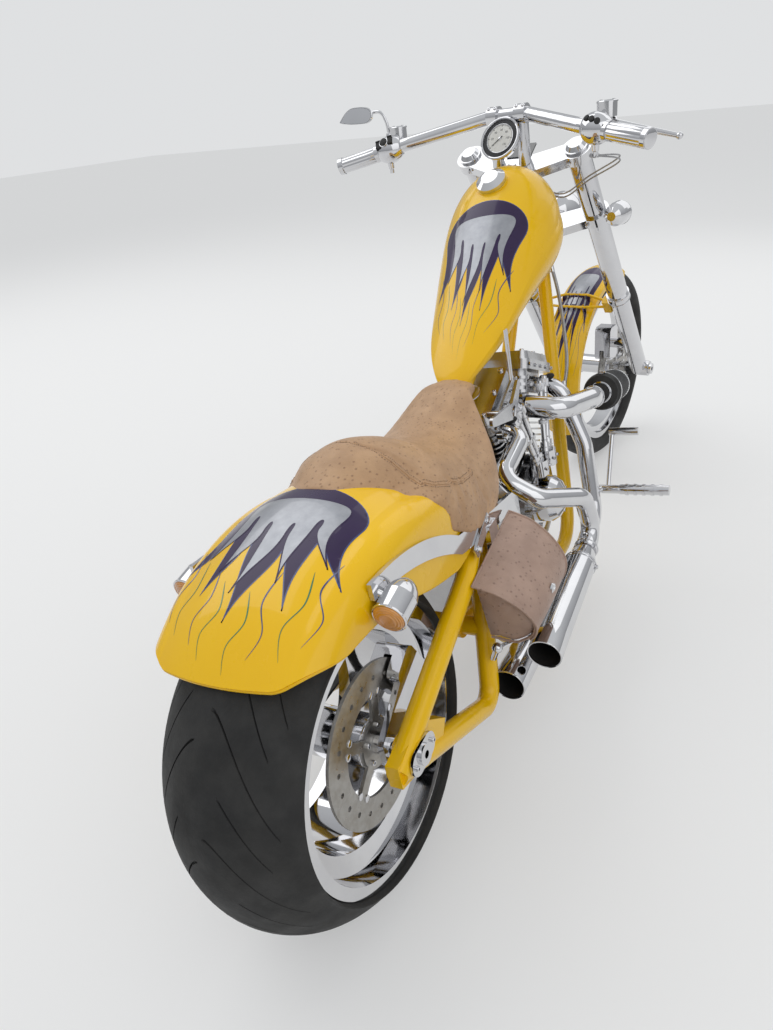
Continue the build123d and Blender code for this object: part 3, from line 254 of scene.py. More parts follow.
def hide(name, colour, dark, marks, bump):
    """Quilled leather."""
    _, tree, shader = new_material(name)
    skin = node(tree, "ShaderNodeGroup", node_tree=bpy.data.node_groups["quilled_hide"])
    fill(skin, Marks=marks, Colour=(*colour, 1), Dark_Colour=(*dark, 1))
    raised = node(tree, "ShaderNodeBump", Strength=1.0, Distance=bump)
    tree.links.new(skin.outputs["Colour"], shader.inputs["Base Color"])
    tree.links.new(skin.outputs["Roughness"], shader.inputs["Roughness"])
    tree.links.new(skin.outputs["Height"], raised.inputs["Height"])
    tree.links.new(raised.outputs["Normal"], shader.inputs["Normal"])
    fill(shader, Coat_Weight=0.15, Coat_Roughness=0.3)


def make_materials(look):
    """Every finish on the machine."""
    yellow = tuple(look.paint)
    deep = (yellow[0] * 0.97, yellow[1] * 0.93, yellow[2])
    finish("yellow_paint", yellow, deep, (0.22, 0.3), coat=0.5, scale=6, Specular_IOR_Level=0.2)
    finish(
        "purple_paint", tuple(look.dark_paint), (0.03, 0.009, 0.07), (0.25, 0.35), coat=0.5, scale=9,
        Specular_IOR_Level=0.2,
    )
    finish(
        "silver_paint", (0.3, 0.31, 0.34), (0.38, 0.39, 0.42), (0.28, 0.4), metallic=0.55, coat=0.6, scale=60
    )
    finish("blue_stripe", (0.012, 0.03, 0.16), (0.02, 0.05, 0.2), (0.25, 0.35), coat=1.0)
    finish("green_stripe", (0.02, 0.17, 0.06), (0.03, 0.22, 0.08), (0.25, 0.35), coat=1.0)
    finish("chrome", (0.7, 0.7, 0.71), (0.63, 0.63, 0.65), (0.03, 0.09), metallic=1.0, scale=12)
    finish("polished", (0.56, 0.56, 0.57), (0.48, 0.48, 0.49), (0.12, 0.26), metallic=1.0, scale=25)
    finish(
        "cast_metal", (0.42, 0.42, 0.43), (0.33, 0.33, 0.34), (0.35, 0.5), metallic=0.9, scale=60, bump=0.0003
    )
    finish(
        "disc_steel", (0.42, 0.41, 0.39), (0.32, 0.3, 0.27), (0.25, 0.42), metallic=1.0, scale=90, bump=0.0001
    )
    finish("black_metal", (0.02, 0.02, 0.022), (0.035, 0.035, 0.037), (0.3, 0.5), metallic=0.3, scale=40)
    finish("rubber", (0.016, 0.016, 0.016), (0.03, 0.029, 0.027), (0.55, 0.8), scale=30, bump=0.0003)
    finish("tread_rubber", (0.013, 0.013, 0.013), (0.03, 0.029, 0.027), (0.6, 0.85), scale=18, bump=0.0004)
    # near-black: painted shade for the inside of the exhaust ends
    finish("painted_pipe_shade", (0.008, 0.008, 0.008), (0.02, 0.018, 0.016), (0.7, 0.9), scale=40)
    finish("dial_face", (0.75, 0.74, 0.7), (0.68, 0.67, 0.62), (0.4, 0.5), scale=30)
    finish("amber_lens", (0.75, 0.32, 0.05), (0.6, 0.24, 0.03), (0.08, 0.15), coat=1.0, scale=50)
    finish("clear_lens", (0.75, 0.77, 0.78), (0.65, 0.67, 0.68), (0.04, 0.08), coat=1.0, scale=50)
    finish("mirror_glass", (0.85, 0.86, 0.88), (0.82, 0.83, 0.85), (0.01, 0.02), metallic=1.0)
    hide("seat_hide", tuple(look.seat_leather), (0.24, 0.12, 0.06), 100, 0.0008)
    hide("bag_hide", tuple(look.bag_leather), (0.2, 0.12, 0.09), 88, 0.0007)
    finish("filter_cloth", (0.02, 0.02, 0.022), (0.035, 0.035, 0.036), (0.5, 0.7), scale=120, bump=0.0002)
    finish("dark_glass", (0.02, 0.022, 0.026), (0.03, 0.032, 0.036), (0.04, 0.08), coat=1.0, scale=30)
    finish("thread", (0.3, 0.2, 0.13), (0.22, 0.14, 0.09), (0.6, 0.8), scale=90)


CAD_FINISH = {
    "yellow_paint": "yellow_paint",
    "chrome": "chrome",
    "tyre": "tread_rubber",
    "leather": "seat_hide",
    "black_parts": "black_metal",
    "steel": "disc_steel",
    "aluminium": "polished",
    "rubber": "rubber",
}


class ChopperLook(bpy.types.PropertyGroup):
    """Colours of the paint and leather."""

    paint: bpy.props.FloatVectorProperty(
        name="Body paint", description="Main gloss paint", subtype="COLOR", default=(0.95, 0.57, 0.003)
    )
    dark_paint: bpy.props.FloatVectorProperty(
        name="Dark paint", description="Field under the flames", subtype="COLOR",
        default=(0.018, 0.005, 0.045),
    )
    seat_leather: bpy.props.FloatVectorProperty(
        name="Seat leather", description="Seat cover", subtype="COLOR", default=(0.56, 0.34, 0.18)
    )
    bag_leather: bpy.props.FloatVectorProperty(
        name="Bag leather", description="Tool bag", subtype="COLOR", default=(0.46, 0.31, 0.24)
    )


class CHOPPER_OT_finishes(bpy.types.Operator):
    """Make the finishes and dress the frame's own pieces in them"""

    bl_idname = "chopper.finishes"
    bl_label = "Finishes"

    def execute(self, context):
        make_wear_group()
        make_hide_group()
        make_mottle_group()
        make_materials(context.scene.chopper_look)
        slots = {part["node"]: part["material_slot"] for part in frame["record"]["subparts"]}
        for name, thing in frame["nodes"].items():
            thing.data.materials.clear()
            thing.data.materials.append(materials[CAD_FINISH[slots[name]]])
        return {"FINISHED"}


# Shapes

WORLD = Matrix.Identity(4)
PLACES = {"chassis": stand, "rear_wheel": stand, "steering": steered, "front_wheel": steered}


def at(x, y, z):
    """A place in the upright frame, from millimetres."""
    return Vector((x, y, z)) / 1000


def square_to(axis):
    """An axis of length one and two directions square to it."""
    axis = Vector(axis).normalized()
    across = axis.orthogonal().normalized()
    return axis, across, axis.cross(across)


class Shape:
    """Vertices and faces gathered from several simple forms."""

    def __init__(self):
        self.verts = []
        self.faces = []

    def add(self, verts, faces):
        first = len(self.verts)
        self.verts += [Vector(v) for v in verts]
        self.faces += [tuple(first + i for i in face) for face in faces]

    def rings(self, rings, closed=True, cap=True):
        """Join rings of points; a ring of one point closes the form."""
        starts = []
        for ring in rings:
            starts.append(len(self.verts))
            self.verts += [Vector(v) for v in ring]
        for index in range(len(rings) - 1):
            a, b = starts[index], starts[index + 1]
            near, far = len(rings[index]), len(rings[index + 1])
            around = max(near, far)
            for i in range(around if closed else around - 1):
                j = (i + 1) % around
                corners = [a + i % near, a + j % near, b + j % far, b + i % far]
                face = tuple(dict.fromkeys(corners))
                if len(face) > 2:
                    self.faces.append(face)
        if cap:
            for start, ring, turn in ((starts[0], rings[0], -1), (starts[-1], rings[-1], 1)):
                if len(ring) > 2:
                    self.faces.append(tuple(range(start, start + len(ring)))[::turn])

    def lathe(self, profile, origin, axis, segments=32):
        """Turn a profile of (along, radius) in millimetres about an axis."""
        axis, across, over = square_to(axis)
        rings = []
        for along, radius in profile:
            middle = Vector(origin) + axis * (along / 1000)
            if radius == 0:
                rings.append([middle])
                continue
            ring = []
            for i in range(segments):
                turn = 2 * math.pi * i / segments
                ring.append(middle + (across * math.cos(turn) + over * math.sin(turn)) * (radius / 1000))
            rings.append(ring)
        self.rings(rings)

    def tube(self, points, radius, sides=12, end_radius=None):
        """A round tube through points, its radius in millimetres."""
        end_radius = radius if end_radius is None else end_radius
        _, across, _ = square_to(points[1] - points[0])
        rings = []
        for index, point in enumerate(points):
            before = points[max(index - 1, 0)]
            after = points[min(index + 1, len(points) - 1)]
            new_heading = (after - before).normalized()
            across = (across - new_heading * across.dot(new_heading)).normalized()
            over = new_heading.cross(across)
            share = index / (len(points) - 1)
            size = (radius + (end_radius - radius) * share) / 1000
            turns = [2 * math.pi * i / sides for i in range(sides)]
            rings.append([point + (across * math.cos(turn) + over * math.sin(turn)) * size for turn in turns])
        self.rings(rings)

    def hoop(self, place, axis, radius, thickness, segments=48, sides=8):
        """A ring of round wire, its sizes in millimetres."""
        axis, across, over = square_to(axis)
        first = len(self.verts)
        for i in range(segments):
            turn = 2 * math.pi * i / segments
            outward = across * math.cos(turn) + over * math.sin(turn)
            for j in range(sides):
                lean = 2 * math.pi * j / sides
                reach = radius + thickness * math.cos(lean)
                height = axis * thickness * math.sin(lean)
                self.verts.append(Vector(place) + (outward * reach + height) / 1000)
        for i in range(segments):
            for j in range(sides):
                a, b = first + i * sides, first + (i + 1) % segments * sides
                k = (j + 1) % sides
                self.faces.append((a + j, a + k, b + k, b + j))

    def fluted(self, start, axis, stations, flutes, depth, twist=0.0, sides=6):
        """A ribbed sleeve through stations of (along, radius) in millimetres."""
        axis, across, over = square_to(axis)
        rings = []
        for index, (along, radius) in enumerate(stations):
            ring = []
            for i in range(flutes * sides):
                turn = 2 * math.pi * i / (flutes * sides)
                size = radius + depth * abs(math.sin(turn * flutes / 2))
                turn += twist * index / (len(stations) - 1)
                outward = across * math.cos(turn) + over * math.sin(turn)
                ring.append(Vector(start) + (axis * along + outward * size) / 1000)
            rings.append(ring)
        self.rings(rings)

    def block(self, centre, x_axis, y_axis, size, bevel=1.5):
        """A box with rounded edges, its size and bevel in millimetres."""
        x_axis = Vector(x_axis).normalized()
        y_axis = (Vector(y_axis) - x_axis * x_axis.dot(Vector(y_axis))).normalized()
        z_axis = x_axis.cross(y_axis)
        form = bmesh.new()
        bmesh.ops.create_cube(form, size=1)
        for vert in form.verts:
            x, y, z = vert.co
            vert.co = (x_axis * x * size[0] + y_axis * y * size[1] + z_axis * z * size[2]) / 1000
            vert.co += Vector(centre)
        bmesh.ops.bevel(form, geom=form.edges[:], offset=bevel / 1000, segments=2, affect="EDGES")
        self.take(form)

    def take(self, form):
        """Add what was built as a bmesh, and let go of that."""
        form.verts.index_update()
        self.add([v.co.copy() for v in form.verts], [[v.index for v in f.verts] for f in form.faces])
        form.free()

    def sheet(self, grid, thickness, upward_middle=False):
        """A sheet through rows of places, thickened on one side."""
        form = bmesh.new()
        verts = [[form.verts.new(p) for p in row] for row in grid]
        for a, b in zip(verts, verts[1:]):
            for j in range(len(a) - 1):
                form.faces.new((a[j], a[j + 1], b[j + 1], b[j]))
        bmesh.ops.recalc_face_normals(form, faces=form.faces[:])
        if upward_middle and form.faces[len(form.faces) // 2].normal.z < 0:
            bmesh.ops.reverse_faces(form, faces=form.faces[:])
        bmesh.ops.solidify(form, geom=form.faces[:], thickness=thickness)
        self.take(form)

    def bolt(self, place, axis, radius=5.0, height=5.0, hexagon=False):
        """A cap screw with a socket, or a hexagon head on its washer."""
        if hexagon:
            washer = ((0, radius * 1.25), (0.22 * height, radius * 1.25), (0.22 * height, 0))
            head = ((0.2 * height, radius), (0.9 * height, radius), (height, 0.8 * radius), (height, 0))
            self.lathe(washer, place, axis, 16)
            self.lathe(head, place, axis, 6)
        else:
            self.lathe(
                (
                    (0, radius), (0.85 * height, radius), (height, 0.85 * radius), (height, 0.5 * radius),
                    (0.4 * height, 0.46 * radius), (0.4 * height, 0),
                ),
                place,
                axis,
                16,
            )

    def piece(self, name, finish_name, body="chassis", place=None, replaces=(), sharp=35):
        """Make the object, dress it and let it ride on its body."""
        place = PLACES[body] if place is None else place
        mesh = bpy.data.meshes.new(name)
        mesh.from_pydata([place @ v for v in self.verts], [], self.faces)
        mesh.validate()
        form = bmesh.new()
        form.from_mesh(mesh)
        bmesh.ops.recalc_face_normals(form, faces=form.faces[:])
        form.to_mesh(mesh)
        form.free()
        return dress(name, mesh, finish_name, body, replaces, sharp)


def dress(name, mesh, finish_name, body, replaces=(), sharp=35):
    """An object for a mesh, with its finish, slot and body."""
    for polygon in mesh.polygons:
        polygon.use_smooth = True
    mesh.set_sharp_from_angle(angle=math.radians(sharp))
    thing = bpy.data.objects.new(name, mesh)
    bpy.context.scene.collection.objects.link(thing)
    mesh.materials.clear()
    mesh.materials.append(materials[finish_name])
    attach(thing, body)
    if replaces:
        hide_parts(*replaces)
    return thing


def between(before, p1, p2, after, t):
    """A place on the smooth curve between the middle two of four points."""
    return 0.5 * (
        2 * p1
        + (p2 - before) * t
        + (2 * before - 5 * p1 + 4 * p2 - after) * t**2
        + (3 * p1 - before - 3 * p2 + after) * t**3
    )


def curve_through(points, steps=8):
    """A smooth path through points."""
    path = []
    for index in range(len(points) - 1):
        before, after = points[max(index - 1, 0)], points[min(index + 2, len(points) - 1)]
        near = (before, points[index], points[index + 1], after)
        path += [between(*near, step / steps) for step in range(steps)]
    path.append(points[-1].copy())
    return path


def border_of(grid):
    """The way round the border of a grid of places, back to its start."""
    border = [row[0] for row in grid] + grid[-1][1:] + [row[-1] for row in reversed(grid)][1:]
    return border + list(reversed(grid[0]))[1:]


def surface_of(node_name):
    """The surface of a frame node, to lay things on."""
    return tree_of(frame["nodes"][node_name])


def tree_of(thing):
    """The surface of a finished piece, to lay things on."""
    mesh = thing.data
    faces = [tuple(p.vertices) for p in mesh.polygons]
    return BVHTree.FromPolygons([v.co.copy() for v in mesh.vertices], faces)


# Painted flames, laid on the bodywork as thin skins


def tank_ray(s, w):
    """A ray onto the tank from a distance behind the cap and a distance round from the ridge."""
    front, back = at(1230, 0, 1000), at(745, 0, 705)
    direction = (back - front).normalized()
    outward_middle = Vector((direction.z, 0, -direction.x))
    turn = w / 0.13
    outward = outward_middle * math.cos(turn) + side * math.sin(turn)
    centre = front + direction * s * 0.84
    return centre + outward * 0.4, -outward


def rear_fender_ray(s, w):
    """A ray onto the rear fender from a distance behind the seat and a distance from the middle."""
    turn = math.radians(10) - s * 1.32
    outward = Vector((math.sin(turn), 0, math.cos(turn)))
    return at(FENDER_X, 0, FENDER_Z) + side * w * 0.92 + outward * 0.8, -outward


def front_fender_ray(s, w):
    """A ray onto the front fender, from its upper end down its back."""
    turn = math.radians(8) - s * 1.05 / 0.363
    outward = Vector((math.sin(turn), 0, math.cos(turn)))
    return front_axle + side * w * 0.36 + outward * 0.6, -outward


FLAME_SETS = {
    # foremost point, then each lick's first root, tip and second root
    "field": (
        0.07,
        (
            ((0.19, -0.140), (0.37, -0.165), (0.235, -0.100)),
            ((0.255, -0.090), (0.45, -0.088), (0.285, -0.050)),
            ((0.29, -0.038), (0.50, 0.014), (0.29, 0.034)),
            ((0.285, 0.046), (0.44, 0.094), (0.255, 0.088)),
            ((0.235, 0.100), (0.385, 0.168), (0.19, 0.140)),
        ),
    ),
    "licks": (
        0.125,
        (
            ((0.185, -0.105), (0.325, -0.128), (0.215, -0.076)),
            ((0.225, -0.066), (0.39, -0.056), (0.245, -0.030)),
            ((0.25, -0.022), (0.43, 0.026), (0.25, 0.018)),
            ((0.245, 0.028), (0.375, 0.074), (0.225, 0.064)),
            ((0.215, 0.074), (0.335, 0.126), (0.185, 0.105)),
        ),
    ),
}
STRIPES = (
    # finish, width in millimetres and the places that the stripe runs through
    ("blue_stripe", 3.4, ((0.30, -0.150), (0.38, -0.135), (0.45, -0.158), (0.52, -0.140))),
    ("green_stripe", 3.0, ((0.34, -0.112), (0.42, -0.120), (0.49, -0.100), (0.56, -0.112))),
    ("blue_stripe", 3.4, ((0.36, -0.062), (0.44, -0.050), (0.51, -0.070), (0.57, -0.056))),
    ("green_stripe", 3.0, ((0.42, -0.018), (0.49, -0.032), (0.55, -0.012), (0.61, -0.020))),
    ("green_stripe", 3.0, ((0.40, 0.046), (0.47, 0.030), (0.53, 0.052), (0.59, 0.040))),
    ("blue_stripe", 3.4, ((0.37, 0.070), (0.44, 0.062), (0.50, 0.082), (0.56, 0.070))),
    ("green_stripe", 3.0, ((0.34, 0.118), (0.42, 0.112), (0.48, 0.130), (0.54, 0.118))),
    ("blue_stripe", 3.4, ((0.30, 0.152), (0.38, 0.142), (0.45, 0.160), (0.51, 0.146))),
)


def bezier(a, b, c, d, steps=14):
    """Points along a cubic curve, without its last one."""
    path = []
    for step in range(steps):
        t = step / steps
        path.append(a * (1 - t) ** 3 + b * 3 * t * (1 - t) ** 2 + c * 3 * t**2 * (1 - t) + d * t**3)
    return path


def flame_outline(front, licks):
    """The closed outline of a flame with rounded valleys and pointed licks."""
    licks = [[Vector(p) for p in row] for row in licks]
    first, last = licks[0][0], licks[-1][2]
    nose = Vector((front, 0))
    path = bezier(last, last - Vector((0.08, -0.012)), nose + Vector((0, 0.09)), nose)
    path += bezier(nose, nose - Vector((0, 0.09)), first - Vector((0.08, 0.012)), first)
    for index, (root, tip, end) in enumerate(licks):
        length = tip.x - root.x
        sway = (tip.y - (root.y + end.y) / 2) * 0.7
        out, into = Vector((0.4 * length, -0.3 * sway)), Vector((0.42 * length, sway))
        path += bezier(root, root + out, tip - into, tip)
        back = tip.x - end.x
        out, into = Vector((0.34 * back, 0.75 * sway)), Vector((0.3 * back, -0.2 * sway))
        path += bezier(tip, tip - out, end + into, end)
        if index + 1 < len(licks):
            following = licks[index + 1][0]
            dip = Vector((0.035, 0))
            path += bezier(end, end - dip, following - dip, following)
    return path


def inside(point, outline):
    """Whether a point lies in a closed outline."""
    result = False
    for a, b in zip(outline, outline[1:] + outline[:1]):
        if (a.y > point.y) != (b.y > point.y):
            if point.x < a.x + (point.y - a.y) * (b.x - a.x) / (b.y - a.y):
                result = not result
    return result


def lay(shape, tree, ray, place, points, faces, lift):
    """Lay flat points on a surface, a little above it."""
    laid = []
    for point in points:
        origin, direction = ray(point.x, point.y)
        hit, normal, _, _ = tree.ray_cast(place @ origin, place.to_3x3() @ direction)
        if hit is None:
            raise RuntimeError(f"paint falls off the bodywork at {tuple(point)}")
        if normal.dot(place.to_3x3() @ direction) > 0:
            normal = -normal
        laid.append(hit + normal * (lift / 1000))
    shape.add(laid, faces)


def paint_flames(prefix, tree, ray, place, body, spacing=0.009, width=1.0):
    """Field, licks and striping on one piece of bodywork."""
    for lift, (kind, finish_name) in enumerate((("field", "purple_paint"), ("licks", "silver_paint")), 1):
        outline = flame_outline(*FLAME_SETS[kind])
        low = Vector((min(p.x for p in outline), min(p.y for p in outline)))
        high = Vector((max(p.x for p in outline), max(p.y for p in outline)))
        points = list(outline)
        x = low.x
        while x < high.x:
            y = low.y
            while y < high.y:
                point = Vector((x, y))
                if inside(point, outline) and min((point - p).length for p in outline) > 0.45 * spacing:
                    points.append(point)
                y += spacing
            x += spacing
        ring = list(range(len(outline)))
        flat, _, faces, _, _, _ = delaunay_2d_cdt(points, [], [ring], 1, 1e-6)
        shape = Shape()
        lay(shape, tree, ray, place, flat, faces, 0.25 * lift)
        shape.piece(f"{prefix}_{kind}", finish_name, body, WORLD)
        edge = [Vector((p.x, p.y, 0)) for p in outline]
        edge.append(edge[0])
        colour = "blue_stripe" if kind == "field" else "purple_paint"
        shape = Shape()
        lay_stripe(shape, tree, ray, place, edge, 2.4 * width, 0.25 * lift + 0.15, False)
        shape.piece(f"{prefix}_{kind}_edge", colour, body, WORLD)
    for index, (finish_name, thickness, route) in enumerate(STRIPES):
        path = curve_through([Vector((s, w, 0)) for s, w in route], 12)
        shape = Shape()
        lay_stripe(shape, tree, ray, place, path, thickness * width, 0.3, True)
        shape.piece(f"{prefix}_stripe_{index}", finish_name, body, WORLD)


def lay_stripe(shape, tree, ray, place, path, width, lift, pointed):
    """A thin line of paint along a path."""
    flat = []
    for index, point in enumerate(path):
        heading = path[min(index + 1, len(path) - 1)] - path[max(index - 1, 0)]
        across = Vector((-heading.y, heading.x, 0)).normalized()
        share = index / (len(path) - 1)
        size = width / 2000
        if pointed:
            size *= min(1.0, 5 * share + 0.15) * (1.02 - share) ** 0.6
        flat += [point + across * size, point - across * size]
    faces = [(2 * i, 2 * i + 1, 2 * i + 3, 2 * i + 2) for i in range(len(path) - 1)]
    lay(shape, tree, ray, place, flat, faces, lift)


FENDER_SECTIONS = (
    # turn from upright in degrees, crown radius, shoulder radius and half width in millimetres
    (-38, 503, 490, 166),
    (-15, 520, 495, 172),
    (8, 536, 497, 175),
    (27, 536, 494, 175),
    (42, 530, 489, 172),
)
FENDER_SKIRT = ((-38, 478), (-27, 440), (-12, 395), (8, 348), (27, 352), (37, 396), (42, 466))
FENDER_BEND = 44.0
FENDER_X, FENDER_Z = 116, 199
FENDER_HALF_WIDTH = 175
TAIL_CORNER, TAIL_CORNER_TURN = 0.36, 12
TAIL_BOW, TAIL_BOW_TURN = 2.8, 16


def along_table(table, angle):
    """The values of a table at an angle between its rows, on a smooth curve."""
    rows = [Vector(row[1:]) if len(row) > 3 else Vector((row[1], 0, 0)) for row in table]
    index = max(i for i in range(len(table) - 1) if table[i][0] <= angle or i == 0)
    t = (angle - table[index][0]) / (table[index + 1][0] - table[index][0])
    before = rows[max(index - 1, 0)]
    after = rows[min(index + 2, len(rows) - 1)]
    return between(before, rows[index], rows[index + 1], after, t)


def fender_section(angle, corner):
    """Half a section of the fender, from its crown to its lower edge."""
    crown, shoulder, wide = along_table(FENDER_SECTIONS, angle)
    skirt = along_table(FENDER_SKIRT, angle).x
    flat = wide - FENDER_BEND
    rise = crown - shoulder
    bow = (flat**2 + rise**2) / (2 * rise)
    points = []
    for step in range(15):
        y = flat * step / 14
        points.append((y, crown - bow + math.sqrt(bow**2 - y**2)))
    for step in range(1, 15):
        turn = math.pi / 2 * step / 14
        points.append((flat + FENDER_BEND * math.sin(turn), shoulder - FENDER_BEND * (1 - math.cos(turn))))
    low = [p for p in points if p[1] > skirt]
    if skirt < shoulder - FENDER_BEND:
        side_top = shoulder - FENDER_BEND
        low = points + [(wide, side_top + (skirt - side_top) * step / 10) for step in range(1, 11)]
    elif len(low) < len(points):
        last, cut = low[-1], points[len(low)]
        share = (last[1] - skirt) / (last[1] - cut[1])
        low.append((last[0] + (cut[0] - last[0]) * share, skirt))
    lengths = [0.0]
    for a, b in zip(low, low[1:]):
        lengths.append(lengths[-1] + math.dist(a, b))
    keep = lengths[-1] * (1 - corner)
    result = []
    for step in range(41):
        want = keep * step / 40
        index = max(i for i in range(len(low) - 1) if lengths[i] <= want)
        share = (want - lengths[index]) / (lengths[index + 1] - lengths[index])
        a, b = low[index], low[index + 1]
        result.append((a[0] + (b[0] - a[0]) * share, a[1] + (b[1] - a[1]) * share))
    return result


class CHOPPER_OT_rear_fender(bpy.types.Operator):
    """Shape the rear fender with rounded tail corners and a rolled edge"""

    bl_idname = "chopper.rear_fender"
    bl_label = "Rear fender"

    def execute(self, context):
        first, last, columns = -38.0, 42.0, 110
        grid = []
        for column in range(columns + 1):
            share = column / columns
            angle = first + (last - first) * share**2
            corner = TAIL_CORNER * (1 - math.sqrt(1 - max(0.0, 1 - (angle - first) / TAIL_CORNER_TURN) ** 2))
            half = fender_section(angle, corner)
            full = [(-y, r) for y, r in reversed(half[1:])] + half
            bow = TAIL_BOW * max(0.0, 1 - (angle - first) / TAIL_BOW_TURN)
            row = []
            for y, r in full:
                turned = math.radians(angle + bow * (y / FENDER_HALF_WIDTH) ** 2)
                row.append(at(FENDER_X + r * math.sin(turned), y, FENDER_Z + r * math.cos(turned)))
            grid.append(row)
        shell = Shape()
        shell.sheet(grid, 0.0038, upward_middle=True)
        shell.piece("rear_fender_shell", "yellow_paint", replaces=("rear_fender",), sharp=50)
        inner = []
        for point in border_of(grid):
            toward = at(FENDER_X, 0, FENDER_Z) - Vector((point.x, 0, point.z))
            inner.append(point + toward.normalized() * 0.0022)
        bead = Shape()
        bead.tube(inner, 3.0, 10)
        bead.piece("rear_fender_bead", "yellow_paint", sharp=80)
        return {"FINISHED"}


class CHOPPER_OT_flames(bpy.types.Operator):
    """Paint the flames and striping on the tank and fenders"""

    bl_idname = "chopper.flames"
    bl_label = "Flames"

    def execute(self, context):
        paint_flames("tank", surface_of("fuel_tank"), tank_ray, stand, "chassis")
        fender = tree_of(bpy.data.objects["rear_fender_shell"])
        paint_flames("rear_fender", fender, rear_fender_ray, stand, "chassis")
        fender = surface_of("front_fender")
        paint_flames("front_fender", fender, front_fender_ray, steered, "steering", width=0.9)
        return {"FINISHED"}


# Tyres with their tread


def groove_share(across, half):
    """How far out on the tread a place is, from 0 near the middle to 1 at the shoulder."""
    return (abs(across) / half - 0.07) / 0.78


def tyre_piece(name, node_name, body, centre, radius, width, lip, rim_width, pitches, sweep, groove):
    """A tyre whose crown, walls and beads follow the frame's, cut with its tread."""
    half = width / 2
    crown = 1.18 * half
    edge = 0.96 * half
    edge_radius = radius - crown + math.sqrt(crown**2 - edge**2)
    profile = []
    steps = 56 if half > 100 else 34
    for i in range(steps + 1):
        y = -edge + 2 * edge * i / steps
        profile.append((y, radius - crown + math.sqrt(crown**2 - y**2), True))
    wall_mid = 0.6 * edge_radius + 0.4 * lip
    wall = []
    for share in (0.12, 0.3, 0.5, 0.7, 0.88):
        rise = edge_radius + (lip + 3 - edge_radius) * share
        if rise > wall_mid:
            bulge = half - (half - edge) * ((rise - wall_mid) / (edge_radius - wall_mid)) ** 2
        else:
            bulge = half - (half - rim_width / 2 - 3) * ((wall_mid - rise) / (wall_mid - lip - 3)) ** 2
        wall.append((bulge - 0.3, rise, False))
    wall += [(rim_width / 2 + 2, lip + 3, False), (rim_width / 2 - 8.5, lip + 0.8, False)]
    wall += [(rim_width / 2 - 9, lip - 10, False)]
    profile = [(-y, r, cut) for y, r, cut in reversed(wall)] + profile + wall
    pitch = 2 * math.pi / pitches
    mouth = groove / radius
    columns = []
    for number in range(4 * pitches):
        for offset in (-1.0, -0.5, 0.5, 1.0):
            columns.append((pitch * number / 4 + offset * mouth, number % 4, abs(offset) < 0.9))
        columns.append((pitch * (number + 0.5) / 4, number % 4, False))
    shape = Shape()
    for turn, family, bottom in columns:
        for y, r, cut in profile:
            share = groove_share(y, half)
            shear = sweep * min(max(share, 0.0), 1.0) ** 1.5
            own = family in ((0, 2) if y < 0 else (1, 3))
            reach = (0.0, 0.95) if family < 2 else (0.3, 0.8)
            depth = 4.5 if cut and bottom and own and reach[0] < share < reach[1] else 0.0
            size = (r - 0.25 - depth) / 1000
            angle = turn + shear
            shape.verts.append(centre + Vector((math.cos(angle) * size, y / 1000, math.sin(angle) * size)))
    count = len(profile)
    for i in range(len(columns)):
        a, b = i * count, ((i + 1) % len(columns)) * count
        for j in range(count - 1):
            shape.faces.append((a + j, a + j + 1, b + j + 1, b + j))
        shape.faces.append((a + count - 1, a, b, b + count - 1))
    shape.piece(name, "tread_rubber", body, replaces=(node_name,), sharp=30)


class CHOPPER_OT_tyres(bpy.types.Operator):
    """Build both tyres with their tread"""

    bl_idname = "chopper.tyres"
    bl_label = "Tyres"

    def execute(self, context):
        for end, centre, sizes in (
            ("rear", rear_axle, (325, 280, 245.5, 256, 11, 0.62, 2.6)),
            ("front", front_axle, (351, 118, 280, 82, 16, 0.34, 2.0)),
        ):
            tyre_piece(f"{end}_tyre_tread", f"{end}_tyre", f"{end}_wheel", centre, *sizes)
        return {"FINISHED"}


# Padded leather


def stuff(name, node_name, finish_name, voxel, pressure, cap, held, skirt, bend):
    """Thicken a frame node's skin, bend it to shape and blow it up as cloth, but for what is held."""
    scene = bpy.context.scene
    skin = bpy.data.objects.new(name, frame["nodes"][node_name].data.copy())
    scene.collection.objects.link(skin)
    thicken = skin.modifiers.new("thicken", "DISPLACE")
    thicken.mid_level = 0
    thicken.strength = skirt
    remesh = skin.modifiers.new("remesh", "REMESH")
    remesh.mode = "VOXEL"
    remesh.voxel_size = voxel
    ease = skin.modifiers.new("ease", "SMOOTH")
    ease.iterations = 6
    context = bpy.context.evaluated_depsgraph_get()
    mesh = bpy.data.meshes.new_from_object(skin.evaluated_get(context))
    skin.modifiers.clear()
    skin.data = mesh
    for vert in mesh.vertices:
        vert.co = bend(vert.co)
    start = [v.co.copy() for v in mesh.vertices]
    pins = skin.vertex_groups.new(name="held")
    pins.add([v.index for v in mesh.vertices if held(v.co)], 1.0, "REPLACE")
    cloth = skin.modifiers.new("cloth", "CLOTH")
    cloth.settings.vertex_group_mass = "held"
    cloth.settings.use_pressure = True
    cloth.settings.uniform_pressure_force = pressure
    cloth.settings.effector_weights.gravity = 0
    for number in range(1, 21):
        scene.frame_set(number)
    context = bpy.context.evaluated_depsgraph_get()
    blown = bpy.data.meshes.new_from_object(skin.evaluated_get(context))
    skin.modifiers.clear()
    skin.vertex_groups.clear()
    for vert, place in zip(blown.vertices, start):
        shift = vert.co - place
        if shift.length > cap:
            vert.co = place + shift * (cap / shift.length)
    skin.data = blown
    scene.frame_set(1)
    finer = skin.modifiers.new("finer", "SUBSURF")
    finer.levels = 1
    context = bpy.context.evaluated_depsgraph_get()
    mesh = bpy.data.meshes.new_from_object(skin.evaluated_get(context))
    bpy.data.objects.remove(skin)
    piece = dress(name, mesh, finish_name, "chassis", (node_name,), 80)
    return piece


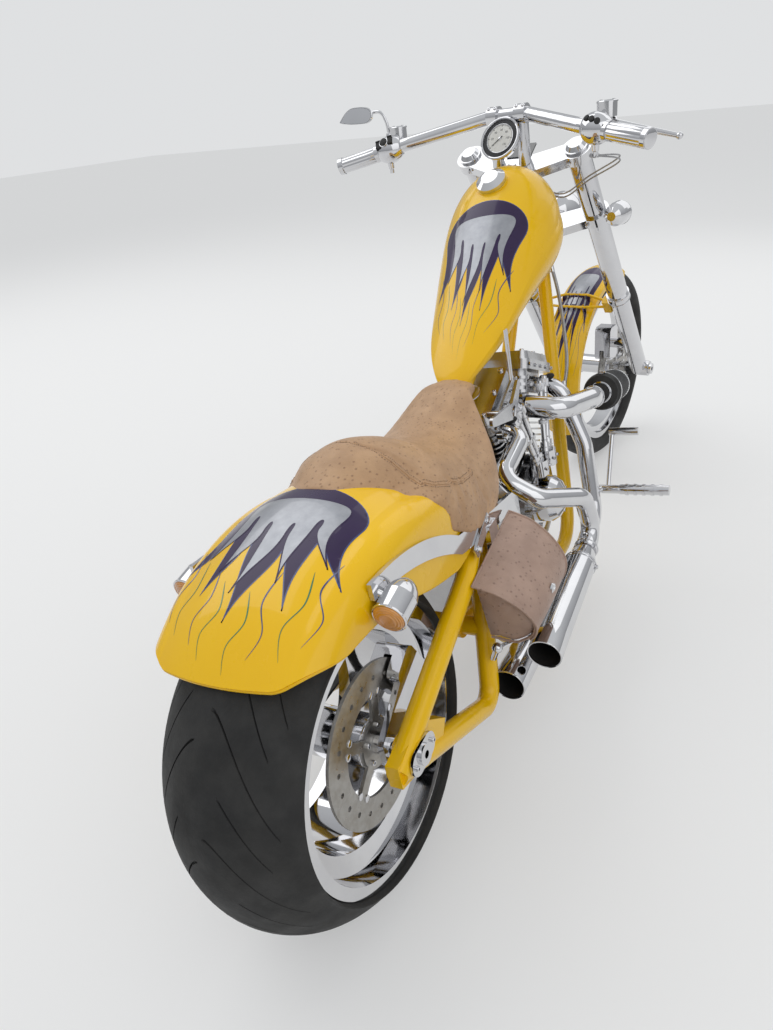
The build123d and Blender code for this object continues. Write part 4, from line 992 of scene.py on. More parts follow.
def seam(welt, stitches, tree, path):
    """A welt on leather nearest to a path, with a row of stitches on each side."""
    points, normals = [], []
    for point in curve_through(path, 24):
        hit, normal, _, _ = tree.find_nearest(stand @ point)
        points.append(hit)
        normals.append(normal)
    welt.tube(points, 1.5, 8)
    for hand in (-1, 1):
        for index in range(1, len(points) - 2, 2):
            ends = []
            for step in (index, index + 1):
                across = (points[step + 1] - points[step - 1]).cross(normals[step]).normalized()
                hit, normal, _, _ = tree.find_nearest(points[step] + across * hand * 0.0055)
                ends.append(hit + normal * 0.0003)
            stitches.tube([ends[0], ends[0].lerp(ends[1], 0.75)], 0.7, 5)


SKIRT_TOP, ROLL_FRONT, ROLL_FOOT = 0.64, 0.36, 0.66
# the seam round the seat's crest, from its right side to the middle
SEAT_SEAM = (
    (450, -188, 655), (410, -190, 655), (360, -188, 662), (305, -178, 680), (268, -156, 702),
    (263, -129, 720), (263, -92, 735), (267, -23, 745),
)


class CHOPPER_OT_seat(bpy.types.Operator):
    """Stuff the seat and sew its welts"""

    bl_idname = "chopper.seat"
    bl_label = "Seat"

    def execute(self, context):
        under = [surface_of(n) for n in ("rear_fender", "frame_backbone", "fuel_tank", "oil_tank")]

        def held(place):
            return any(tree.find_nearest(place, 0.012)[0] is not None for tree in under)

        def bend(place):
            point = stand.inverted() @ place
            low = max(0.0, SKIRT_TOP - point.z)
            rear = min(max((ROLL_FRONT - point.x) / 0.1, 0.0), 1.0)
            rear *= min(max((point.z - ROLL_FOOT) / 0.06, 0.0), 1.0)
            away = math.copysign(0.04, point.y) * low - 0.1 * rear * point.y
            return stand @ (point + Vector((0.018 * rear, away, -0.22 * low - 0.02 * rear)))

        seat = stuff("seat_pad", "seat", "seat_hide", 0.0056, 3.0, 0.008, held, 0.003, bend)
        tree = tree_of(seat)
        welt, stitches = Shape(), Shape()
        path = [at(x, y, z) for x, y, z in SEAT_SEAM]
        path += [Vector((p.x, -p.y, p.z)) for p in reversed(path)]
        seam(welt, stitches, tree, path)
        welt.piece("seat_welt", "seat_hide", "chassis", WORLD)
        stitches.piece("seat_stitches", "thread", "chassis", WORLD)
        return {"FINISHED"}


BAG_PROFILE = ((194, 505), (214, 497), (240, 484), (272, 452), (292, 418), (298, 388), (288, 356), (262, 332))
BAG_REAR, BAG_LENGTH = 0.324, 0.197
BAG_BASE, BAG_HEIGHT = 0.324, 0.181


def bag_lean(point):
    """The bag hangs lower and farther back at its rear end."""
    share = (BAG_REAR + BAG_LENGTH - point.x) * (point.z - BAG_BASE) / BAG_HEIGHT
    return point - Vector((0.14 * share + 0.012, 0, 0.2 * share))


class CHOPPER_OT_tool_bag(bpy.types.Operator):
    """Stuff the tool bag, lay its flap over it and add the piping and clasp"""

    bl_idname = "chopper.tool_bag"
    bl_label = "Tool bag"

    def execute(self, context):
        back = stand.inverted()

        def held(place):
            return (back @ place).y > -0.1965

        def bend(place):
            return stand @ bag_lean(back @ place)

        stuff("bag_body", "tool_bag", "bag_hide", 0.004, 2.5, 0.005, held, 0, bend)
        rows, columns = 28, 24
        outline = curve_through([Vector((0, -y / 1000, z / 1000)) for y, z in BAG_PROFILE], 6)
        sheet = []
        for i in range(rows + 1):
            along = i / rows
            x = BAG_REAR + BAG_LENGTH * along
            reach = 0.9 + 0.1 * math.sin(math.pi * along) ** 1.4
            row = []
            for j in range(columns + 1):
                where = reach * j / columns * (len(outline) - 1)
                low = min(int(where), len(outline) - 2)
                point = outline[low].lerp(outline[low + 1], where - low)
                swell = 0.004 * math.sin(math.pi * j / columns) * math.sin(math.pi * along)
                away = Vector((0, point.y + 0.215, point.z - 0.41)).normalized()
                row.append(bag_lean(Vector((x, point.y, point.z)) + away * (0.0035 + swell)))
            sheet.append(row)
        flap = Shape()
        flap.sheet(sheet, 0.0026)
        flap.piece("bag_flap", "bag_hide", sharp=60)
        edge = Shape()
        edge.tube(border_of(sheet), 2.3, 8)
        for x in (0.327, 0.518):
            ring = [Vector((x, p.y * 0.985 - 0.003, p.z)) for p in outline]
            ring += [Vector((x, -0.246, BAG_BASE)), Vector((x, -0.2, 0.333))]
            edge.tube(curve_through([bag_lean(p) for p in ring], 2), 2.6, 8)
        edge.piece("bag_piping", "bag_hide", sharp=60)
        clasp = Shape()
        spot = sheet[rows // 2][columns - 9]
        away = Vector((0, -0.95, -0.25))
        clasp.lathe(((-2, 10), (3, 10), (4.4, 8), (4.4, 5), (6, 4.5), (6.6, 0)), spot, away, 24)
        clasp.piece("bag_clasp", "chrome")
        return {"FINISHED"}


# Handlebar and its instruments

BAR_END = (1149, -129, 433)
BAR_BEND = (1137, -51, 245)
BAR_MIDDLE = steer_point(1098, 63)
PERCH_REACH = at(58, 0, 16)


def bar_line(hand):
    """The end of the bar and the way in from it."""
    end = steer_point(BAR_END[0], BAR_END[1], hand * BAR_END[2])
    bend = steer_point(BAR_BEND[0], BAR_BEND[1], hand * BAR_BEND[2])
    return end, (bend - end).normalized()


class CHOPPER_OT_controls(bpy.types.Operator):
    """Add the fluted grips, switches, reservoir lids and cables to the handlebar"""

    bl_idname = "chopper.controls"
    bl_label = "Hand controls"

    def execute(self, context):
        chrome, black, wires = Shape(), Shape(), Shape()
        turned = steered.to_3x3()
        for name, hand in (("right", -1), ("left", 1)):
            end, inward = bar_line(hand)
            chrome.fluted(end, inward, ((9, 18.8), (11, 19.4), (105, 19.4), (107, 18.8)), 9, 1.5, sides=10)
            chrome.lathe(((2, 21.5), (-5, 20), (-7, 15), (-7.5, 0)), end, inward)
            reach = end + inward * 0.146 + PERCH_REACH
            top = reach + at(-4, 0, 34)
            chrome.lathe(((0, 24.4), (3, 24.4), (5, 22), (5, 0)), top, (0, 0, 1), 40)
            for offset in (-15, 15):
                chrome.bolt(top + at(0, offset, 5), (0, 0, 1), 3, 2)
            chrome.bolt(reach + at(10, 0, 3), (0, 0, 1), 7, 7, True)
            chrome.lathe(((0, 15), (6, 16), (12, 15), (12, 0)), reach + at(16, 0, -8), (1, 0, -0.2))
            for inset in (124, 178):
                chrome.hoop(end + inward * inset / 1000, inward, 23 if inset < 150 else 24, 1.6)
            tree = surface_of(f"hand_control_{name}")
            aim = Vector((-0.78, 0, 0.62)).normalized()
            buttons = ((132, 0), (150, 11), (168, 0)) if hand > 0 else ((136, 7), (151, 7), (166, 7))
            for inset, radius in buttons:
                middle = end + inward * inset / 1000
                hit, normal, _, _ = tree.ray_cast(steered @ (middle + aim * 0.1), turned @ -aim)
                spot = steered.inverted() @ hit
                out = turned.inverted() @ normal
                if radius:
                    if hand > 0:
                        chrome.lathe(((-2, 13.5), (1, 13.5), (1.8, 12.5), (1.8, 0)), spot, out)
                    black.lathe(((0, radius), (3, radius), (4, radius - 1.5), (4, 0)), spot, out)
                else:
                    black.block(spot + out * 0.001, inward, inward.cross(out), (9, 19, 6), 2)
            base = end + inward * 0.15 + at(-4, 0, -31)
            chrome.lathe(((0, 9), (14, 8), (16, 6), (26, 6), (26, 0)), base, (0.1, 0, -1))
            if hand < 0:
                still = steered.inverted() @ stand
                for drop in (0, 9):
                    route = [base + at(3, drop, -24)]
                    for x, y, z in ((1265, -300, 1091), (1332, -205, 1056), (1396, -115, 1020)):
                        route.append(still @ at(x, y, z - drop))
                    route.append(steer_point(890 - drop, 30, -40))
                    wires.tube(curve_through(route, 8), 2.0, 10)
                    wires.lathe(((-6, 4.5), (12, 4.5), (14, 3)), route[0], route[1] - route[0], 12)
        for index in (-1, 1):
            for hand in (-1, 1):
                spot = BAR_MIDDLE + side * (hand * 40 + index * 9) / 1000 + steer_up * 0.0225
                chrome.bolt(spot, steer_up, 4.5, 5)
        for hand in (-1, 1):
            for up in (750, 968):
                chrome.bolt(steer_point(up, FORK_OFFSET + 42, hand * 148), steer_forward, 5, 5)
                chrome.bolt(steer_point(up, FORK_OFFSET - 41.5, hand * 150), -steer_forward, 5, 5)
        chrome.lathe(((0, 22), (7, 22), (9, 20), (9, 13), (16, 12), (17, 0)), steer_point(982), steer_up, 6)
        chrome.piece("handlebar_fittings", "chrome", "steering")
        black.piece("handlebar_switches", "rubber", "steering")
        wires.piece("handlebar_cables", "cast_metal", "steering", steered, sharp=60)
        panel = Shape()
        panel.block(steer_point(983.5, 66), side, steer_forward, (70, 46, 4), 1.5)
        panel.piece("clamp_panel", "dark_glass", "steering")
        return {"FINISHED"}


DIAL_START, DIAL_SWEEP, DIAL_MARKS, DIAL_NUMBERS = 225, 270, 48, 7


def label_mesh(text, size):
    """Flat letters as vertices and faces."""
    curve = bpy.data.curves.new(f"label_{text}", "FONT")
    curve.body = text
    curve.size = size
    curve.align_x = "CENTER"
    curve.align_y = "CENTER"
    thing = bpy.data.objects.new(curve.name, curve)
    bpy.context.scene.collection.objects.link(thing)
    mesh = bpy.data.meshes.new_from_object(thing.evaluated_get(bpy.context.evaluated_depsgraph_get()))
    verts = [v.co.copy() for v in mesh.vertices]
    faces = [tuple(p.vertices) for p in mesh.polygons]
    bpy.data.objects.remove(thing)
    bpy.data.curves.remove(curve)
    bpy.data.meshes.remove(mesh)
    return verts, faces


class CHOPPER_OT_gauge(bpy.types.Operator):
    """Build the gauge with its dial, marks and needle"""

    bl_idname = "chopper.gauge"
    bl_label = "Gauge"

    def execute(self, context):
        normal = Vector((-0.86, 0, 0.5)).normalized()
        face = BAR_MIDDLE + at(-53, 0, -47)
        over = (Vector((0, 0, 1)) - normal * normal.z).normalized()
        right = (-normal).cross(over)
        case = Shape()
        case.lathe(
            (
                (-36, 0), (-36, 36), (-30, 43), (-10, 51), (-8, 54), (-3.5, 55), (-1, 54), (0, 51.5),
                (-1, 49), (-5, 47.5), (-5, 0),
            ),
            face,
            normal,
            72,
        )
        case.tube([face - normal * 0.034, BAR_MIDDLE], 11, 20)
        case.hoop(face - normal * 0.0036, normal, 36.5, 1.3, 64)
        case.hoop(face - normal * 0.0042, normal, 26, 0.5, 64, 6)
        case.lathe(((-4, 4.5), (-2.6, 4), (-2.2, 0)), face, normal, 20)
        case.piece("gauge_case", "chrome", "steering", replaces=("gauge",))
        ring = Shape()
        ring.lathe(((-4.9, 47.4), (-4.4, 47.4), (-4.1, 37), (-4.1, 0)), face, normal, 72)
        for mark in range(DIAL_MARKS + 1):
            turn = math.radians(DIAL_START - DIAL_SWEEP * mark / DIAL_MARKS)
            heading = right * math.cos(turn) + over * math.sin(turn)
            across = heading.cross(normal) * 0.0004 * (2 if mark % 8 == 0 else 1)
            inner = 0.0305 if mark % 8 == 0 else 0.0325
            centre = face - normal * 0.0035
            start, end = centre + heading * inner, centre + heading * 0.035
            ring.add([start - across, start + across, end + across, end - across], [(0, 1, 2, 3)])
        for step in range(DIAL_NUMBERS):
            turn = math.radians(DIAL_START - DIAL_SWEEP / (DIAL_NUMBERS - 1) * step)
            verts, faces = label_mesh(str(20 * step), 0.0075)
            middle = face - normal * 0.0035 + (right * math.cos(turn) + over * math.sin(turn)) * 0.0222
            ring.add([middle + right * v.x + over * v.y for v in verts], faces)
        tip = right * math.cos(math.radians(222)) + over * math.sin(math.radians(222))
        ring.tube([face - normal * 0.0028 - tip * 0.008, face - normal * 0.0028 + tip * 0.028], 1.4, 6, 0.4)
        ring.piece("gauge_marks", "black_metal", "steering")
        dial = Shape()
        dial.lathe(((-4.1, 36), (-3.7, 36), (-3.7, 0)), face, normal, 64)
        dial.piece("gauge_dial", "dial_face", "steering")
        return {"FINISHED"}


class CHOPPER_OT_mirror(bpy.types.Operator):
    """Build the teardrop mirror on its stem"""

    bl_idname = "chopper.mirror"
    bl_label = "Mirror"

    def execute(self, context):
        end, inward = bar_line(1)
        seat_point = end + inward * 0.146 + PERCH_REACH + at(-4, 0, 18)
        base = seat_point + at(0, 33, 0)
        middle = base + at(-10, 96, 57)
        normal = Vector((-1, 0, 0.1)).normalized()
        over = Vector((0.1, 0, 1)).normalized()
        corners = [Vector(c) for c in ((62, -10), (6, 23), (-52, 14), (-56, -8), (-30, -20))]
        outline = []
        for index, (leave, arrive, steps) in enumerate(
            (((44, 10), (28, 23), 10), ((-16, 23), (-40, 22), 10), ((-60, 8), (-60, -2), 8),
             ((-52, -16), (-44, -20), 8), ((0, -20), (40, -18), 12))
        ):
            ends = corners[index], corners[(index + 1) % len(corners)]
            outline += bezier(ends[0], Vector(leave), Vector(arrive), ends[1], steps)

        def teardrops(rows):
            """The outline at some distances out and sizes."""
            return [
                [middle + (side * p.x * size + over * p.y * size + normal * out) / 1000 for p in outline]
                for out, size in rows
            ]

        shell = Shape()
        rows = ((0, 0.86), (1.5, 0.95), (4, 1.0), (8, 1.0), (10, 0.97), (10, 0.92), (9, 0.9))
        shell.rings(teardrops(rows))
        stem = [base, base + at(-2, 4, 36), base + at(-4, 26, 62), middle + normal * 0.002]
        shell.tube(curve_through(stem, 10), 4.6, 12)
        shell.lathe(((-10, 7), (5, 7), (7, 5), (7, 0)), base, side)
        shell.lathe(((0, 8), (5, 8), (9, 5.5), (9, 0)), base, (0, 0, 1))
        shell.piece("mirror_shell", "chrome", "steering", replaces=("mirror_left",))
        glass = Shape()
        glass.rings(teardrops(((9.1, 0.9), (9.5, 0.895), (9.6, 0.3))))
        glass.piece("mirror_glass", "mirror_glass", "steering")
        return {"FINISHED"}


class CHOPPER_OT_lamps(bpy.types.Operator):
    """Fit the lenses and rims of the headlight and the four signals"""

    bl_idname = "chopper.lamps"
    bl_label = "Lamps"

    def execute(self, context):
        astern = Vector((-0.98, 0, -0.2))
        ahead = Vector((1, 0, 0))
        for body, spots in (
            ("chassis", [(at(20, hand * 206, 618) + astern * 0.032, astern) for hand in (-1, 1)]),
            ("steering", [(steer_point(768, 42, hand * 234) + at(24, 0, 0), ahead) for hand in (-1, 1)]),
        ):
            lens, rim = Shape(), Shape()
            radius = 25.5 if body == "chassis" else 29.5
            for spot, aim in spots:
                profile = [(-1, radius)]
                steps = 14
                for step in range(steps + 1):
                    turn = step / steps * math.pi / 2
                    ripple = 0.5 if step % 2 else -0.3
                    width = radius * math.cos(turn) if step < steps else 0
                    profile.append((1 + 8 * math.sin(turn) + ripple, width))
                lens.lathe(profile, spot, aim, 48)
                rim.hoop(spot, aim, radius + 1.4, 2.0, 56)
                rim.bolt(spot + aim.orthogonal().normalized() * (radius + 0.5) / 1000, aim, 2.2, 3)
                if body == "chassis":
                    bullet = ((40, 28.3), (52, 25.5), (64, 19.5), (72, 12.5), (75, 6), (76, 0))
                    rim.lathe(bullet, spot, -aim, 48)
            lens.piece(f"{body}_signal_lenses", "amber_lens", body)
            rim.piece(f"{body}_signal_rims", "chrome", body)
        lamp = steer_point(668, 160)
        beam = Vector((0.99, 0, -0.1)).normalized()
        glass = Shape()
        glass.lathe(((33, 50.5), (38, 50.5), (42, 40), (45, 22), (46, 0)), lamp, beam, 56)
        glass.piece("headlight_glass", "clear_lens", "steering")
        rim = Shape()
        rim.hoop(lamp + beam * 0.036, beam, 53.5, 3.4, 64)
        rim.hoop(lamp + beam * 0.008, beam, 58, 1.6, 64)
        rim.piece("headlight_rim", "chrome", "steering")
        return {"FINISHED"}


# Engine, intake and exhausts

CRANK = at(975, 0, 290)
GEARBOX = at(650, 0, 282)
BANK = math.radians(22.5)


class CHOPPER_OT_engine(bpy.types.Operator):
    """Add the engine's bolts, collars, plugs and covers' trim"""

    bl_idname = "chopper.engine"
    bl_label = "Engine trim"

    def execute(self, context):
        bolts, knurls, black = Shape(), Shape(), Shape()
        for hand in (-1, 1):
            up = Vector((hand * math.sin(BANK), 0, math.cos(BANK)))
            along = Vector((math.cos(BANK), 0, -hand * math.sin(BANK)))
            for reach, across in ((-78, -62), (78, -62), (-78, 62), (78, 62), (0, -66), (0, 66)):
                bolts.bolt(CRANK + (up * 397.5 + along * reach + side * across) / 1000, up, 6.5, 6)
            for reach in (-88, -44, 0, 44, 88):
                bolts.bolt(CRANK + (up * 363 + along * reach - side * 88) / 1000, -side, 5, 4)
            bolts.lathe(((-6, 30), (1.5, 30), (3, 27), (3, 0)), CRANK + up * 0.398, up, 40)
            for offset in (-20, 20):
                start = CRANK + at(offset * 0.5 + hand * 34, -112, 124)
                finish_at = CRANK + up * 0.336 + at(offset - hand * 24, -99, 0)
                run = finish_at - start
                for share, radius, length in ((0.42, 10.8, 12), (0.86, 10.8, 22)):
                    ring = ((0, radius - 0.6), (1, radius), (length - 1, radius), (length, radius - 0.6))
                    knurls.fluted(start + run * share, run, ring, 24, 0.9, sides=4)
                knurls.hoop(start + run * 0.1, run, 12.6, 1.2, 32)
                knurls.hoop(start + run * 0.2, run, 8, 1.4, 24)
                knurls.hoop(start + run * 0.78, run, 8, 1.4, 24)
            for offset in (-14, 14):
                bolts.bolt(CRANK + at(hand * 34 + offset, -134, 114), (0, -1, 0.15), 4, 5)
            plug = CRANK + up * 0.325 - side * 0.074 + along * (hand * 0.03)
            out = (-side + up * 0.35).normalized()
            bolts.lathe(((-4, 11), (5, 11), (5, 8), (16, 8), (16, 0)), plug, out, 6)
            black.lathe(((14, 8.5), (34, 9), (40, 7), (44, 4), (44, 0)), plug, out, 20)
        cover = at(957, -88.3, 303)
        bolts.lathe(((76, 25), (79, 24), (80, 20), (80, 0)), cover, -side, 40)
        for turn in range(3):
            angle = math.radians(120 * turn + 30)
            bolts.bolt(cover + at(math.cos(angle) * 36, -67, math.sin(angle) * 36), -side, 4.5, 6)
        for turn in range(6):
            angle = math.radians(60 * turn)
            bolts.bolt(GEARBOX + at(58 * math.cos(angle), -102, 58 * math.sin(angle)), -side, 5, 5)
        for centre, radius, count in ((CRANK * 1000, 101, 7), (GEARBOX * 1000, 90, 6)):
            for step in range(count):
                angle = math.radians(-80 + 160 * step / (count - 1) + (0 if centre.x > 800 else 180))
                x, z = centre.x + radius * math.cos(angle), centre.z + radius * math.sin(angle)
                bolts.bolt(at(x, 246, z), side, 5, 5)
        for step in range(5):
            angle = math.radians(72 * step + 18)
            bolts.bolt(GEARBOX + at(68 * math.cos(angle), 258, 68 * math.sin(angle)), side, 5, 4)
        for x in (540, 600, 700, 760, 830, 1070):
            bolts.bolt(at(x, -84 if x < 800 else -80, 196), -side, 5.5, 5, True)
        bolts.piece("engine_bolts", "chrome")
        knurls.piece("pushrod_collars", "chrome")
        black.piece("plug_caps", "rubber")
        pipes = Shape()
        for start, middle, end in (
            ((1078, -24, 300), (1096, -60, 350), (1052, -96, 420)),
            ((600, -84, 330), (640, -118, 372), (742, -120, 330)),
            ((520, 40, 330), (500, 60, 360), (520, 62, 388)),
        ):
            pipes.tube(curve_through([at(*start), at(*middle), at(*end)], 10), 5, 12)
            for place, toward in ((start, middle), (end, middle)):
                pipes.lathe(((-3, 8), (10, 8), (10, 0)), at(*place), at(*toward) - at(*place), 6)
        for shift in (0, 12):
            pipes.tube([at(842 + shift, -108, 801), at(834 + shift, -108, 683)], 3, 10)
        ring = ((-24, 24), (-5, 24), (-5, 29), (-1, 29), (0, 27), (0, 19), (-4, 17), (-4, 0))
        pipes.lathe(ring, at(846, -112, 589), -side, 40)
        pipes.piece("oil_lines", "chrome")
        hose = Shape()
        route = ((1368, -66, 849), (1352, -84, 770), (1306, -104, 680), (1262, -116, 590), (1222, -112, 520))
        hose.tube(curve_through([at(*place) for place in route], 8), 5, 12)
        hose.piece("breather_hose", "cast_metal", sharp=60)
        ends = Shape()
        collar = ((-8, 9), (6, 9), (6, 7), (26, 7), (28, 5.5), (28, 0))
        ends.lathe(collar, at(*route[0]), (-0.2, -0.2, -1), 20)
        ends.tube([at(*route[0]) + at(0, 0, 4), at(1362, -30, 862)], 6, 12)
        ends.lathe(((-22, 7), (6, 7), (8, 5), (8, 0)), at(*route[-1]), (-0.3, 0, -1), 20)
        ends.tube([at(*route[-1]), at(1160, -96, 505)], 5, 12)
        ends.piece("hose_fittings", "chrome")
        return {"FINISHED"}


class CHOPPER_OT_filter(bpy.types.Operator):
    """Pleat the cone filter and add its cap and clamp"""

    bl_idname = "chopper.filter"
    bl_label = "Air filter"

    def execute(self, context):
        elbow, mouth = at(1150, -203, 512), at(1268, -205, 488)
        run = (mouth - elbow).normalized()
        pleats = Shape()
        steps = 10
        stations = [(27 + 108 * i / steps, 49.6 - 5.5 * i / steps) for i in range(steps + 1)]
        pleats.fluted(mouth, run, stations, 44, 2.6, twist=0.7, sides=6)
        pleats.piece("filter_pleats", "filter_cloth", sharp=60)
        sleeve = Shape()
        lips = ((-15, 47.5), (-14, 49), (-3, 51), (0, 53), (26, 53), (28, 51.5), (28, 48))
        sleeve.lathe(lips, mouth, run, 64)
        sleeve.piece("filter_sleeve", "rubber")
        trim = Shape()
        trim.lathe(((131, 45.5), (133, 47.2), (140, 46.8), (145, 41), (148, 24), (149, 0)), mouth, run, 56)
        band = ((9, 52.8), (9, 54), (17, 54), (17, 52.8))
        trim.lathe(band, mouth, run, 64)
        trim.block(mouth + run * 0.013 + at(0, 0, 56), run, side, (10, 16, 7), 1.5)
        trim.bolt(mouth + run * 0.013 + at(0, -8, 56), -side, 3, 4, True)
        trim.hoop(mouth - run * 0.014, run, 30, 2.0, 48)
        trim.hoop(mouth - run * 0.09, run, 30, 1.8, 48)
        trim.piece("filter_trim", "chrome")
        return {"FINISHED"}


PORTS = (1142, 808)


class CHOPPER_OT_exhausts(bpy.types.Operator):
    """Line the exhaust ends with a near-black sleeve as painted shade inside the pipes, and add their clamps"""

    bl_idname = "chopper.exhausts"
    bl_label = "Exhausts"

    def execute(self, context):
        lining, trim = Shape(), Shape()
        for joint, tail in (((800, -202, 163), (352, -197, 172)), ((770, -262, 258), (400, -268, 228))):
            joint, tail = at(*joint), at(*tail)
            run, across, over = square_to(tail - joint)
            for shape, rows in (
                (lining, ((-119, 0), (-118, 33.6), (-5, 33.6), (-3, 33.2))),
                (trim, ((-60, 33.5), (-60, 37.2), (-1.5, 37.2), (0, 36.4), (-0.6, 34.4), (-4, 33.4))),
            ):
                rings = []
                for along, radius in rows:
                    ring = []
                    for i in range(64 if radius else 1):
                        turn = 2 * math.pi * i / 64
                        outward = across * math.cos(turn) + over * math.sin(turn)
                        ring.append(tail + (run * along + outward * radius) / 1000)
                    rings.append(ring)
                shape.rings(rings, cap=False)
            for along in (52, 60):
                trim.hoop(joint + run * along / 1000, run, 37.2, 1.6, 56)
            trim.hoop(joint - run * 0.012, run, 28, 1.5, 48)
            trim.bolt(joint + run * 0.056 + at(0, -38, -4), (0, -1, 0), 5, 5, True)
        for x in PORTS:
            for offset in (-20, 20):
                trim.bolt(at(x + offset, -88, 562), -side, 5.5, 9, True)
        # the near-black sleeve and its end disc are painted shade for the depth of each pipe
        lining.piece("exhaust_painted_shade", "painted_pipe_shade")
        trim.piece("exhaust_clamps", "chrome")
        return {"FINISHED"}


VALVE_TURN = math.radians(200)


class CHOPPER_OT_running_gear(bpy.types.Operator):
    """Add the wheels' bolts and valves, the struts' fasteners and the small stays"""

    bl_idname = "chopper.running_gear"
    bl_label = "Running gear"

    def execute(self, context):
        for body, axle, face, spider, bolt_circle, well, hub, lip in (
            ("rear_wheel", rear_axle, 106.3, 92, 34, 236, 100, 46),
            ("front_wheel", front_axle, 66.3, 96, 27, 268, 60, 34),
        ):
            trim = Shape()
            for step in range(5):
                angle = math.radians(72 * step)
                heading = Vector((math.cos(angle), 0, math.sin(angle)))
                for shift in (-7, 7):
                    turn = angle + math.radians(shift)
                    spot = axle + Vector((math.cos(turn), -face / spider, math.sin(turn))) * spider / 1000
                    trim.lathe(((0, 6.5), (1.6, 6.5), (2.2, 5), (2.2, 0)), spot, -side, 20)
                trim.bolt(axle + heading * bolt_circle / 1000 - side * face / 1000, -side, 5, 5)
            inward = -Vector((math.cos(VALVE_TURN), 0, math.sin(VALVE_TURN)))
            foot = axle - inward * (well - 42) / 1000
            valve = ((-12, 5.5), (8, 5.5), (8, 3.5), (26, 3.5), (26, 4.5), (36, 4.5), (36, 0))
            trim.lathe(valve, foot, inward, 16)
            for hand in (-1, 1):
                trim.hoop(axle + side * hand * (hub - 3) / 1000, side, lip, 1.5, 56)
            trim.piece(f"{body}_fittings", "chrome", body)
        trim = Shape()
        for hand in (-1, 1):
            trim.block(at(378, hand * 187, 526), (61, 0, 29), (0, 1, 0), (92, 6, 26), 1.5)
            for x, z in ((408, 540), (348, 511)):
                trim.bolt(at(x, hand * 190, z), side * hand, 6, 6, True)
            plate = -197.3 if hand < 0 else 225.3
            for x in (-31, 31):
                trim.bolt(at(x, plate, 325 + x * 0.08), side * hand, 5, 5)
        ball = at(318, -205, 300)
        turns = [math.pi * i / 10 for i in range(11)]
        bead = [(-11 * math.cos(turn), 11 * math.sin(turn) if 0 < turn < math.pi else 0) for turn in turns]
        trim.lathe(bead, ball, (0, 0, 1), 24)
        trim.tube([ball, at(330, -186, 262)], 7, 12)
        for shift in (0, 15):
            trim.tube([ball + at(4, 0, -2), at(492 + shift, -203, 204 - shift * 0.2)], 3.6, 10)
        trim.lathe(((0, 9), (12, 9), (12, 0)), at(492, -203, 200), (0, 0, 1), 16)
        trim.piece("strut_fasteners", "chrome")
        fork = Shape()
        for hand in (-1, 1):
            for up in (338, 366):
                fork.bolt(steer_point(up, FORK_OFFSET + 15, hand * 116), steer_forward, 4.5, 5)
            fork.hoop(steer_point(388, FORK_OFFSET, hand * 160), steer_up, 35.4, 1.4, 56)
            fork.hoop(steer_point(410, FORK_OFFSET, hand * 160), steer_up, 35.2, 1.6, 56)
            fork.bolt(steer_point(-4, FORK_OFFSET + 26, hand * 160), steer_forward, 5, 5)
        for z in (150, 86):
            fork.bolt(front_axle + at(-84, -121.5, z), -side, 7, 6)
        fork.piece("fork_fittings", "chrome", "steering")
        return {"FINISHED"}


class ChopperStage(bpy.types.PropertyGroup):
    """Camera and light."""

    lens: bpy.props.FloatProperty(
        name="Lens", description="Focal length", default=24.99, subtype="DISTANCE_CAMERA"
    )
    yaw: bpy.props.FloatProperty(
        name="Yaw", description="Camera heading", default=math.radians(34.221), subtype="ANGLE"
    )
    pitch: bpy.props.FloatProperty(
        name="Pitch", description="Camera dip", default=math.radians(25.546), subtype="ANGLE"
    )
    roll: bpy.props.FloatProperty(
        name="Roll", description="Camera roll", default=math.radians(-13.74), subtype="ANGLE"
    )
    place: bpy.props.FloatVectorProperty(
        name="Place", description="Camera in the upright machine's frame", default=(-0.7247, -0.7302, 1.198),
        subtype="XYZ", unit="LENGTH",
    )
    key_power: bpy.props.FloatProperty(name="Key light", description="Main lamp", default=85.0, unit="POWER")


FLOOR_REACH = 30.0
FLOOR_GLOW = 0.34


